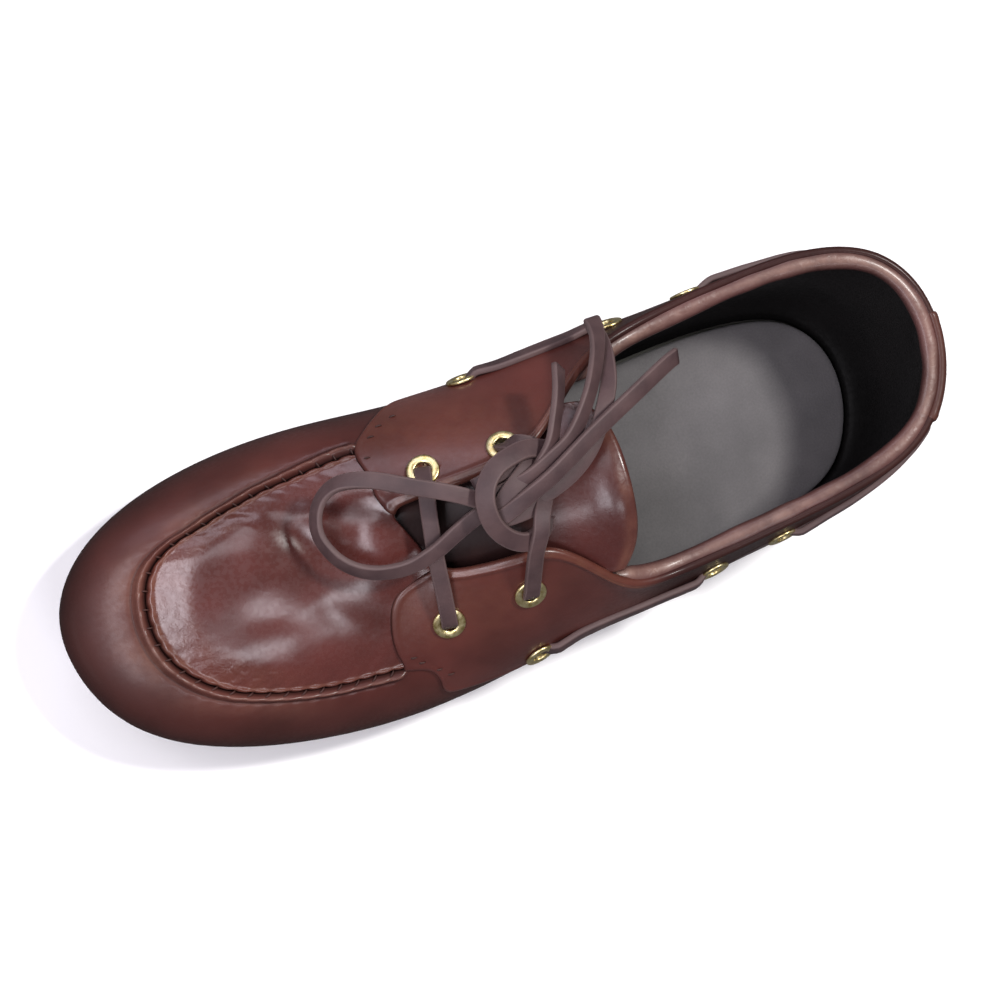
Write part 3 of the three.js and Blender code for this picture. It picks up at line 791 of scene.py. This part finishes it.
def makeVamp():
    columns = 700
    s = np.linspace(-16.5, 16.5, columns)
    base = seamLine(s)
    top = base + (1 - base) * np.where(s < 0, smooth(-5.02, -5.9, s), smooth(5.62, 6.4, s))
    top = np.where((s < -5.9) | (s > 6.4), 1.0, top)
    pace = np.linalg.norm(lastPoint(s, top - 0.01) - lastPoint(s, top - 0.02), axis=-1) / 0.01
    near = np.r_[np.arange(0, 5.2, 0.27), 5.6, 6.2, 7.2, 8.4, 10, 12]
    far = 30
    t = top[None] - near[:, None] / pace[None]
    t = np.vstack([t, t[-1][None] * (1 - np.linspace(0, 1, far + 1)[1:, None])])
    d = np.vstack([np.repeat(near[:, None], columns, 1), np.full((far, columns), 30.0)])
    steps = np.linspace(0, 1, far + 1)[1:, None]
    d[len(near):] = near[-1] + steps * (t[len(near) - 1] * pace)[None]
    t, d = t[::-1], d[::-1]  # the rows rise from the feather line

    def lay(i, j):
        height, away = t[j, i], d[j, i]
        p, normal = lastFrame(np.where(i == columns - 1, s[0], s[i]), height)[:2]
        on = seamStrength(s[i])
        soft = smooth(0.1, 0.3, height) * (1 - smooth(0.9, 1, height))
        lift = vampLift(s[i], away) + 0.22 * ripple(p, 24) * soft
        cheek = bell(away, 6.5, 6.5) * on
        front = smooth(190, 235, p[:, 0] + heelSeat)
        patch = 0.5 + 0.5 * ripple(p, 9, 1.3)
        burnish = 0.45 * cheek * front * patch + 0.25 * bell(away, 1.8, 0.9) * on
        # painted shade: dark in the seam's groove and in the crease outside the crest, and darker
        # towards the sole on the lower walls
        paintedShade = on * (0.85 * bell(away, 0, 0.6) + 0.55 * bell(away, 4.1, 0.5))
        paintedShade = np.maximum(paintedShade, 0.8 * (1 - smooth(0.12, 0.66, height)))
        crinkle = 0.12 * bell(away, 4.5, 3) * on
        return p + normal * lift[:, None], {"burnish": burnish, "paintedShade": paintedShade, "crinkle": crinkle}

    vamp = grid("vamp", columns, len(t), lay)
    weld(vamp)
    punch(vamp, [hole(name, 0)[0] for name in eyeletPlaces], 3.4)
    thicken(vamp, 0.9)
    return finishPiece(vamp, oxbloodVamp, ["upper"])


def curl(p, normal, rising, lift, radius, k, turns):  # wraps an edge over a rim from k = 0
    over, lift = k >= 0, lift[:, None]
    angle = np.radians(turns)[np.clip(k, 0, len(turns) - 1)][:, None]
    rolled = p + normal * (lift - radius) + radius * (
        normal * np.cos(angle) + rising * np.sin(angle))
    return over, np.where(over[:, None], rolled, p + normal * lift)


def makePlug():
    columns = 300
    s = np.linspace(-5.95, 6.35, columns)
    base = seamLine(s)
    pace = np.linalg.norm(lastPoint(s, base + 0.02) - lastPoint(s, base + 0.01), axis=-1) / 0.01
    near = np.r_[np.arange(0, 4, 0.3), 4.5, 5.2, 6.2, 7.4, 9]
    near = near[:, None] * np.minimum(1, 0.5 * (1 - base) * pace / 9)[None]
    t = base[None] + near / pace[None]
    far = 54
    steps = np.linspace(0, 1, far + 1)[1:, None]
    t = np.vstack([t, t[-1][None] + (1 - t[-1])[None] * steps])
    d = np.vstack([near, near[-1][None] + steps * ((1 - t[len(near) - 1]) * pace)[None]])
    turns = [25, 50, 75, 100, 130, 160]

    def lay(i, j):
        level = np.minimum(j, len(t) - 1)
        p, normal, around, rising = lastFrame(s[i], t[level, i])
        away = d[level, i]
        on = seamStrength(s[i])
        lift = plugLift(s[i], away) + creaseLift(p) * smooth(2, 8, away)
        lift = lift + toePillow(s[i], p, away)
        lift = lift + 0.18 * ripple(p, 15, 0.7) * smooth(2, 8, away)
        out = curl(p, normal, rising, lift, 0.9, j - len(t), turns)[1]
        toe = smooth(200, 224, p[:, 0] + heelSeat) * (1 - smooth(10, 14, away))
        burnish = 0.18 * bell(away, 2, 1) * on + 0.1 * toe
        # painted shade in the seam's groove
        paintedShade = on * 0.85 * bell(away, 0.1, 0.55)
        crinkle = 0.05 + 0.3 * toe * smooth(0.5, 2.5, away)
        return out, {"burnish": burnish, "paintedShade": paintedShade, "crinkle": crinkle}

    plug = grid("plug", columns, len(t) + len(turns), lay)
    thicken(plug, 0.9)
    return finishPiece(plug, oxbloodPlug)


def polyline(points):  # even steps in mm along places given as spoke and height
    points = np.array(points, float)
    fine = curveThrough(np.c_[points, np.zeros(len(points))], 1e-2)[0][:, :2]
    fine = fine[np.linspace(0, len(fine) - 1, 400).astype(int)]
    return fine, runOf(lastPoint(fine[:, 0], np.clip(fine[:, 1], 0, 1)))


def onLine(line, share):
    fine, run = line
    at = np.asarray(share) * run[-1]
    return np.stack([np.interp(at, run, fine[:, k]) for k in range(2)], -1)


def edgeRows(length, near=(0, 0.12, 0.3, 0.55, 0.85, 1.2, 1.6, 2.1, 2.7, 3.4), step=1.1):
    inner = np.arange(near[-1] + step, length - near[-1] - step / 2, step)
    return np.r_[near, inner, length - np.array(near[::-1])] / length


facings = {
    "Outer": {
        "bottom": [(5.55, 0.655), (6.1, 0.625), (6.4, 0.56), (6.63, 0.449), (7.0, 0.405),
                   (8.36, 0.353), (10.45, 0.388), (12.19, 0.518), (13.37, 0.637),
                   (14.6, 0.75), (15.5, 0.80), (16.25, 0.82)],
        "top": [(4.75, 1), (8, 1), (12, 1), (16.25, 1)],
        "left": [(5.55, 0.655), (5.4, 0.695), (4.9, 0.775), (4.45, 0.835), (3.9, 0.895),
                 (3.85, 0.93), (4.2, 0.965), (4.75, 1)],
        "right": [(16.25, 0.82), (16.25, 0.9), (16.25, 1)],
        "front": "left",
    },
    "Inner": {
        "bottom": [(17.65, 0.82), (18.4, 0.81), (19.2, 0.79), (20.6, 0.70), (21.8, 0.60),
                   (22.9, 0.44), (24.2, 0.28), (25.5, 0.2), (26.5, 0.26), (27.0, 0.42)],
        "top": [(17.65, 1), (22, 1), (26, 1), (29.9, 1)],
        "left": [(17.65, 0.82), (17.65, 0.9), (17.65, 1)],
        "right": [(27.0, 0.42), (27.55, 0.58), (28.05, 0.70), (28.25, 0.77), (28.55, 0.885),
                  (29.2, 0.96), (29.9, 1)],
        "front": "right",
    },
}


def makeFacing(side):
    lines = {k: polyline(v) for k, v in facings[side].items() if k != "front"}
    front = facings[side]["front"]
    along = edgeRows(lines["bottom"][1][-1] * 0.98, step=1.25)
    across = edgeRows(lines[front][1][-1])
    a, b = along[None, :, None], across[:, None, None]
    low, high = onLine(lines["bottom"], along)[None], onLine(lines["top"], along)[None]
    left, right = onLine(lines["left"], across)[:, None], onLine(lines["right"], across)[:, None]
    corners = [low[:, :1], low[:, -1:], high[:, :1], high[:, -1:]]
    place = (1 - b) * low + b * high + (1 - a) * left + a * right - (
        (1 - a) * (1 - b) * corners[0] + a * (1 - b) * corners[1]
        + (1 - a) * b * corners[2] + a * b * corners[3])
    s, t = place[..., 0], np.clip(place[..., 1], 0, 1)
    flat = lastPoint(s, t)

    def gather(steps, axis):  # distance in mm from the first row or column
        zero = np.zeros_like(steps.take([0], axis))
        return np.concatenate([zero, np.cumsum(steps, axis)], axis)

    fromBottom = gather(np.linalg.norm(np.diff(flat, axis=0), axis=-1), 0)
    fromLeft = gather(np.linalg.norm(np.diff(flat, axis=1), axis=-1), 1)
    fromFront = fromLeft if front == "left" else fromLeft[:, -1:] - fromLeft
    fromRear = fromLeft[:, -1:] - fromLeft if front == "left" else fromLeft
    away = np.minimum(fromBottom, fromFront)
    turns = range(20, 181, 20)

    def lay(i, j):
        level = np.minimum(j, len(across) - 1)
        p, normal, around, rising = lastFrame(s[level, i], t[level, i])
        off = away[level, i]
        edge = np.clip(off / band["round"], 0, 1)
        rounded = np.sqrt(np.clip(1 - (1 - edge) ** 2, 0, 1))
        fromTop = (fromBottom[-1:] - fromBottom)[level, i]
        free = smooth(95, 112, p[:, 0] + heelSeat)  # the facing's own free edge, not the collar
        lip = 0.3 * bell(fromTop, 1.6, 1.3) * free + 0.18 * bell(off, 1.5, 0.8)
        lift = (band["thick"] * smooth(-1, 1.2, fromRear[level, i]) + lip) * rounded
        lift = lift + 0.15 * ripple(p, 13, 2.1) * smooth(1, 6, off)
        radius = 0.35 + 0.55 * lift[:, None] + 0.5
        over, out = curl(p, normal, rising, lift, radius, j - len(across), turns)
        burnish = 0.4 * bell(fromTop, 0, 1.2) * (0.6 + 0.4 * ripple(p, 12, 3))
        burnish = np.where(over, 0.15, burnish) * (0.2 + 0.8 * free) + 0.1 * ripple(p, 22, 1)
        # painted shade: along the band's lower and front edge, in a line below the top lip, and
        # over the whole band by the collar
        paintedShade = 0.6 * (1 - smooth(0, 0.5, off)) + 0.2 * bell(fromTop, 3.4, 0.8) * free
        paintedShade = np.maximum(paintedShade, 0.7 * (1 - free))
        return out, {"burnish": np.clip(burnish, 0, 1), "paintedShade": paintedShade, "crinkle": 0.03}

    facing = grid("facing" + side, len(along), len(across) + len(turns), lay)
    holes = [hole(n, band["thick"])[0] for n in eyeletPlaces if n.endswith(side.lower())]
    punch(facing, holes, 3.2)
    thicken(facing, 0.7)
    return finishPiece(facing, oxblood)


heelStrip = {
    "edge": [(-1.95, 0.015), (-1.35, 0.1), (-1.1, 0.3), (-0.92, 0.6), (-0.85, 0.8), (-0.82, 1)],
    "middle": 16.95, "thick": 1.0, "over": 1.6, "spoke": 17,  # mm to a spoke
}


def makeHeelStrip():
    edge = np.array(heelStrip["edge"])
    rows, columns = 60, 44
    level = np.linspace(0.015, 1, rows)
    half = np.interp(level, edge[:, 1], -edge[:, 0])
    share = 1 - np.cos(np.linspace(0, np.pi, columns))
    share = (share - 1) * 0.6 + np.linspace(-1, 1, columns) * 0.4
    turns = [25, 50, 75, 100, 125, 150, 180]

    def lay(i, j):
        k = np.minimum(j, rows - 1)
        s = heelStrip["middle"] + share[i] * half[k]
        p, normal, around, rising = lastFrame(s, level[k])
        off = (1 - np.abs(share[i])) * half[k] * heelStrip["spoke"]
        edgeRise = np.sqrt(np.clip(1 - (1 - np.clip(off / 0.8, 0, 1)) ** 2, 0, 1))
        thick = heelStrip["thick"] + (heelStrip["over"] - heelStrip["thick"]) * smooth(
            0.74, 0.84, level[k])
        lift = thick * edgeRise + 0.15 * bell(off, 1.6, 0.8)
        radius = 0.85 + 0.5 * lift[:, None]
        over, out = curl(p, normal, rising, lift, radius, j - rows, turns)
        # painted shade along the strip's edges and on the turned-over top, against the light from
        # above
        paintedShade = np.maximum(0.7 * (1 - smooth(0, 0.7, off)), 0.4 * over)
        return out, {"burnish": 0.05 + 0.1 * over, "paintedShade": paintedShade, "crinkle": 0.03}

    piece = grid("heelStrip", columns, rows + len(turns), lay)
    punch(piece, [hole("side_d_outer", 1.4)[0], hole("side_d_inner", 1.4)[0]], 3.2)
    thicken(piece, 0.7)
    return finishPiece(piece, oxblood)


def makeLining():
    columns, rows = 280, 50
    s = np.linspace(-16.5, 16.5, columns)
    t = np.linspace(1, 0, rows)

    def lay(i, j):
        spoke = np.where(i == columns - 1, s[0], s[i])
        p, normal = lastFrame(spoke, t[j])[:2]
        normal = np.where((t[j] < 0.02)[:, None], outward(spoke)[2], normal)
        over = np.zeros(len(i))  # it covers the ends of the lace behind the side eyelets
        for name in eyeletPlaces:
            if name.startswith("side"):
                far = np.linalg.norm(p - lastPoint(*eyeletPlaces[name]), axis=1)
                over = np.maximum(over, 1.1 * bell(far, 0, 5))
        marks = {"burnish": 0, "paintedShade": 0, "crinkle": 0.06}
        return p - normal * (wall - 0.1 + over)[:, None], marks

    lining = grid("lining", columns, rows, lay)
    weld(lining)
    thicken(lining, 0.6)
    return finishPiece(lining, blackLining)


collarRoll = {"start": 10.2, "end": 23.9, "radius": 2.45, "inset": 3.0, "drop": 0.75}


def makeCollarRoll():
    rows, sides = 330, 26
    c = collarRoll
    s = np.linspace(c["start"], c["end"], rows)
    p, normal, around, rising = lastFrame(s, 1.0)
    run = runOf(p)
    fade = smooth(0, 13, run) * smooth(0, 13, run[-1] - run)
    dimple = 0.10 * np.sin(run / 3.1 + 2 * np.sin(run / 11)) + 0.12 * np.sin(run / 7.3)
    radius = (c["radius"] + dimple) * (0.35 + 0.65 * fade)
    centre = p - normal * (c["inset"] - 0.9 * (1 - fade))[:, None]
    centre = centre - rising * (c["drop"] + 3.2 * (1 - fade))[:, None]

    def lay(i, j):
        a = turnOf(i, sides)
        squash = 1 + 0.12 * np.cos(2 * a)
        r = (radius[j] * squash * (j > 0) * (j < rows - 1))[:, None]
        out = centre[j] + r * (normal[j] * np.cos(a)[:, None] + rising[j] * np.sin(a)[:, None])
        crown = np.clip(np.sin(a), 0, 1)
        burnish = crown**3 * (0.45 + 0.25 * ripple(centre[j], 16, 0.4))
        burnish = burnish * (1 - 0.6 * smooth(0, 0.9, np.cos(a)))
        # painted shade on the roll's inner, lower side, which faces into the shoe
        inner = smooth(-0.2, -0.9, np.cos(a)) * smooth(0.5, -0.4, np.sin(a))
        return out, {"burnish": burnish, "paintedShade": 0.7 * inner, "crinkle": 0.3}

    roll = grid("collarRoll", sides + 1, rows, lay)
    faceOut(roll)
    return finishPiece(roll, collarHide, ["collar_roll"])


makeVamp()
makePlug()
for side in ("Outer", "Inner"):
    makeFacing(side)
makeHeelStrip()
makeLining()
makeCollarRoll()
print("upper done")


# Eyelets: one smooth turned shape, copied to each place with its own mesh.
eyelet = {"bore": 2.35, "barrel": 2.75, "flange": 4.75, "foot": 4.4, "depth": 1.75,
          "crown": 0.5, "sides": 44}


def makeEyelets():
    e = eyelet
    seat, top = band["thick"] - 0.1, proud
    turns = np.radians(np.linspace(180, 0, 11))
    half, mid = (e["flange"] - e["bore"]) / 2, (e["flange"] + e["bore"]) / 2
    crown = e["crown"]
    profile = np.array([
        (e["barrel"], -e["depth"]), (e["barrel"], seat), (e["foot"], seat),
        (e["flange"], seat + 0.2),
        *((mid - half * np.cos(a), top - crown + crown * np.sin(a) ** 0.7) for a in turns),
        (e["bore"], 0.2), (e["bore"], -e["depth"]), (e["barrel"], -e["depth"])])

    def lay(i, j):
        a = turnOf(i, e["sides"])
        r, h = profile[j % (len(profile) - 1)].T
        return np.stack([r * np.cos(a), r * np.sin(a), h], -1), {}

    first = grid("eyelet", e["sides"] + 1, len(profile), lay)
    faceOut(first)
    for name, place in eyeletPlaces.items():
        p, normal, around, rising = lastFrame(*place)
        side = unit(np.cross(rising, normal))
        stand = Matrix.Identity(4)
        for k, axis in enumerate((side, np.cross(normal, side), normal, p * mm)):
            stand.col[k][:3] = axis
        made = first.copy()
        made.data = first.data.copy()
        scene.collection.objects.link(made)
        made.name = "brassEyelet_" + name
        made.data.transform(stand)
        finishPiece(made, brass, ["eyelet_" + name])
    bpy.data.objects.remove(first)


# The tongue, front to back: across the foot and up, left, middle and right, mm.
tongueRows = np.array([
    (186, -11, 44, 1, 47, 13, 43.5), (166, -15, 49.5, 2, 53.2, 18, 47.5),
    (148, -19, 54.5, 2, 60.2, 22, 53), (130, -23, 56, 2, 66.8, 27, 56),
    (111.5, -21, 63.5, 3, 72, 29.5, 60.5),
], float)
tongue = {"thick": 2.4, "rearRound": 5.0, "puff": 1.6, "long": 78}


def tonguePoint(u, v):
    rows, run = curveThrough(tongueRows, 0.5)
    at = np.clip(u, 0, 1) * (len(rows) - 1)
    x, ay, az, my, mz, cy, cz = (np.interp(at, np.arange(len(rows)), rows[:, k]) for k in range(7))
    by, bz = 2 * my - (ay + cy) / 2, 2 * mz - (az + cz) / 2
    y = ay * (1 - v) ** 2 + 2 * by * v * (1 - v) + cy * v * v
    z = az * (1 - v) ** 2 + 2 * bz * v * (1 - v) + cz * v * v
    corner = tongue["rearRound"] * np.abs(2 * v - 1) ** 5 * smooth(0.8, 1, u)
    return np.stack([x - heelSeat + corner, y, z], -1)


def makeTongue():
    columns, rows = 90, 120
    turns = [15, 35, 55, 75, 90, 105, 125, 145, 165, 180]

    def lay(i, j):
        v = i / (columns - 1)
        u = np.minimum(j, rows - 1) / (rows - 1)
        p = tonguePoint(u, v)
        back = unit(tonguePoint(u + 0.005, v) - tonguePoint(np.clip(u, 0.02, 0.98) - 0.01, v))
        side = tonguePoint(u, np.minimum(v + 0.01, 1)) - tonguePoint(u, np.maximum(v - 0.01, 0))
        normal = unit(np.cross(side, back))
        run = (1 - u) * tongue["long"]
        lift = 0.3 * ripple(p, 14, 2) + 0.12 * bell(run, 2.0, 1.5)
        lift = lift + tongue["puff"] * bell(run, 3.5, 5.5) * bell(v, 0.66, 0.24)
        radius = tongue["thick"] / 2 + 0.35
        over, out = curl(p, normal, back, lift, radius, j - rows, turns)
        burnish = np.where(over, 0.45, 0.5 * bell(run, 1.0, 1.8)) * (0.7 + 0.4 * ripple(p, 6, 1))
        # painted shade over the tongue's front, from about 20 mm in from its rear edge and full by
        # 36 mm, where it lies under the plug and the laces
        return out, {"burnish": burnish, "paintedShade": 0.9 * smooth(20, 36, run), "crinkle": 0.12}

    piece = grid("softTongue", columns, rows + len(turns), lay)
    normalsOut(piece)
    thicken(piece, 1.4)
    return finishPiece(piece, oxbloodSoft, ["tongue"])


# The profile's rows are how far out of the feather line and how high, bottom centre to top.
def soleSheet(name, profile, look, node, columns=360, fill=46):
    s = np.arange(columns + 1) % columns * spokeCount / columns
    row, widest, out = outward(s)
    feather = row[:, 3:4]
    rims = []
    for grow, height in profile:
        rim = widest - out * feather + out * grow
        rim[:, 2] = height(rim[:, 0])
        rims.append(rim)
    partner = (columns - np.arange(columns + 1)) % columns
    shares = np.linspace(0, 1, fill + 1)[:-1]

    def filled(rim, height, share):
        centre = (rim + rim[partner]) / 2
        p = centre + (rim - centre) * share
        p[:, 2] = height(p[:, 0])
        return p

    low, high = profile[0][1], profile[-1][1]
    rings = [filled(rims[0], low, a) for a in shares] + rims
    rings += [filled(rims[-1], high, a) for a in shares[::-1]]
    rings = np.array(rings)
    rings[..., 0] -= heelSeat
    piece = grid(name, columns + 1, len(rings), lambda i, j: (rings[j, i], {}))
    faceOut(piece)
    return finishPiece(piece, look, [node])


def softEdges(piece):  # smooth faces, with edges kept where they turn sharply
    pick(piece)
    bpy.ops.object.shade_smooth_by_angle(angle=math.radians(38))


def makeInsole():
    inset = wall + 0.75
    thick = 3.0

    def level(drop):
        return lambda x: soleTop(x) + gap + drop

    profile = [(-inset - 0.3, level(0.05)), (-inset, level(0.5)), (-inset, level(thick - 1.0)),
               (-inset - 0.25, level(thick - 0.4)), (-inset - 0.8, level(thick - 0.08)),
               (-inset - 1.8, level(thick))]
    softEdges(soleSheet("footbed", profile, footbed, "insole", fill=30))


# Wavy sipes cut across the sole's underside, mm.
sipes = {"span": (-20, 229), "pitch": 5, "wide": 0.9, "deep": 1.1, "swing": 1.1, "step": 3,
         "margin": 6}


def sipe(x):  # one zigzag cutter across the sole at x
    s = np.linspace(0, spokeCount, 700)
    row, widest, out = outward(s)
    rim = widest - out * row[:, 3:4]
    rim[:, 0] -= heelSeat
    outer, inner = rim[s < 17], rim[s > 17][::-1]
    side = [np.interp(-x, -edge[:, 0], edge[:, 1]) for edge in (inner, outer)]
    y = np.arange(side[0] + sipes["margin"], side[1] - sipes["margin"], sipes["step"])
    turn = np.where(np.arange(len(y)) % 2, sipes["swing"], -sipes["swing"])
    corners = np.array([(-1, -1), (1, -1), (1, 1), (-1, 1)]) * (sipes["wide"] / 2, sipes["deep"])

    def lay(i, j):
        k = np.clip(j - 1, 0, len(y) - 1)
        open = np.where((j == 0) | (j > len(y)), 0.0, 1.0)
        across, up = (corners[i % 4] * open[:, None]).T
        middle = x + turn[k]
        return np.stack([middle + across, y[k], under(middle + heelSeat) + up], -1), {}

    cutter = grid("sipe", 5, len(y) + 2, lay)
    faceOut(cutter)
    return cutter


def makeOutsole():
    lip = sole["lip"]

    def side(share, drop=0.0):
        return lambda x: under(x) + (soleTop(x) - under(x)) * share + drop

    profile = [(lip - 1.6, side(0)), (lip - 0.75, side(0, 0.15)), (lip - 0.2, side(0, 0.6)),
               (lip, side(0, 1.3)), (lip, side(0.42)), (lip - 0.28, side(0.46)),
               (lip - 0.28, side(0.52)), (lip, side(0.56)), (lip, side(1, -0.5)),
               (lip - 0.25, side(1, -0.1)), (lip - 0.8, side(1))]
    piece = soleSheet("rubberSole", profile, rubber, "outsole", columns=420)
    cutter = joinPieces("sipeCutter", [sipe(x) for x in np.arange(*sipes["span"], sipes["pitch"])])
    modify(piece, "BOOLEAN", operation="DIFFERENCE", solver="EXACT", object=cutter)
    bpy.data.objects.remove(cutter)
    softEdges(piece)


makeEyelets()
makeTongue()
makeInsole()
makeOutsole()
print("eyelets, tongue and soles done")


# Threads: one short stitch shape, copied along its row.
stitch = {"radius": 0.3, "sides": 8}


def makeStitches(name, places):
    sides = stitch["sides"]
    share = np.linspace(0, 1, 7)
    swell = np.sqrt(np.clip(np.sin(np.pi * share), 0, 1))
    swell[[0, -1]] = 0
    count = len(share)
    places = np.array([[*a, *b, *n, w] for a, b, n, w in places])

    def lay(i, j):
        which, k = j // count, j % count
        a, b, n = places[which, 0:3], places[which, 3:6], unit(places[which, 6:9])
        angle = turnOf(i, sides)
        across = np.cross(unit(b - a), n)
        u = share[k][:, None]
        centre = a + (b - a) * u + n * (np.sin(np.pi * u) * 0.5 - 0.15) * np.minimum(
            1, np.linalg.norm(b - a, axis=1, keepdims=True) / 3)
        r = stitch["radius"] * places[which, 9:10] * swell[k][:, None]
        p = centre + r * (across * np.cos(angle)[:, None] + n * np.sin(angle)[:, None])
        return p, {"burnish": 0.1, "paintedShade": 0, "crinkle": 0}

    piece = grid(name, sides + 1, count * len(places), lay)
    row = np.arange(len(piece.data.polygons)) // sides
    deleteFaces(piece, row % count == count - 1)  # those that join one stitch to the next
    faceOut(piece)
    return finishPiece(piece, thread)


def seamStitches():
    phase = stitchPhase(runSpokes)
    first, last = np.interp((seam["inner"], seam["outer"]), runSpokes, phase)
    places = []
    for k in range(math.ceil(first), int(last) + 1):
        s = np.interp(k, phase, runSpokes)
        p, normal, around, rising = lastFrame(s, float(seamLine(s)))
        lean = around * 0.35
        a = p - rising * 1.3 + normal * 0.7 - lean
        b = p + rising * 1.1 - normal * 0.5 + lean
        places.append((a, b, normal, 1.0))
    makeStitches("seamStitches", places)


bartacks = {  # at the facings' front corners, spoke and height, a short stitch across the edge
    "Inner": [(28.1, 0.785), (27.65, 0.665), (27.35, 0.595), (27.0, 0.535)],
    "Outer": [(5.6, 0.71), (5.85, 0.68), (6.3, 0.62), (6.6, 0.57)],
}


def cornerStitches():
    for side, marks in bartacks.items():
        places = []
        for s, t in marks:
            p, normal, around, rising = lastFrame(s, t)
            reach = around * (1.4 if side == "Outer" else -1.4)
            places.append((p - reach + normal * 0.3, p + reach + normal * 1.15, normal, 1.1))
        makeStitches("cornerStitches" + side, places)


seamStitches()
cornerStitches()
print("stitches done")


# Painted studio sweep, matt white.
def paleFloor():
    made, tree, shader = material("mattWhiteSweep")
    shader.inputs["Base Color"].default_value = linear("#ffffff")
    shader.inputs["Roughness"].default_value = 0.8
    return made


clearSelection()
bpy.ops.mesh.primitive_plane_add(size=6, location=(0.1, 0, 0))
floor = bpy.context.object
floor.name = "floor"
bpy.ops.object.transform_apply(location=True, rotation=True, scale=True)
floor.data.materials.append(paleFloor())
floor.visible_glossy = False  # no white glare up the walls

skyStrength = 0.16
lights = {  # place and aim in m, width and height, power in W and colour
    "over": ((-0.5, -0.28, 1.45), (0.1, 0, 0.03), (0.2, 0.2), 19.0, "#fffdfa"),
    "key": ((0.91, -0.05, 1.17), (0.2, 0, 0.03), (1.6, 0.3), 16.0, "#f6f1fa"),
    "toe": ((1.3, 0.1, 0.3), (0.2, 0, 0.03), (1.0, 0.3), 0.8, "#ffffff"),
    "inner": ((0.25, -1.0, 0.7), (0.1, 0, 0.04), (0.9, 0.3), 3.0, "#f3efff"),
    "outer": ((0.3, 0.72, 1.25), (0.18, 0, 0.03), (0.5, 0.25), 3.0, "#fbf8ff"),
    "brow": ((0.42, -0.52, 1.27), (0.18, 0, 0.03), (0.4, 0.25), 1.2, "#fbf8ff"),
}


def addLight(name, place, aim, size, power, colour):
    way = Vector(place) - Vector(aim)
    bpy.ops.object.light_add(type="AREA", location=place,
                             rotation=way.to_track_quat("Z", "Y").to_euler())
    light = bpy.context.object
    light.name = name
    light.data.shape = "RECTANGLE"
    light.data.size, light.data.size_y = size
    light.data.energy = power
    light.data.color = linear(colour)[:3]


for name, settings in lights.items():
    addLight(name, *settings)
world = bpy.data.worlds.new("studio")
scene.world = world
world.use_nodes = True
sky = world.node_tree.nodes["Background"]
sky.inputs["Color"].default_value = linear("#fbfaff")
sky.inputs["Strength"].default_value = skyStrength
print("floor and light done")
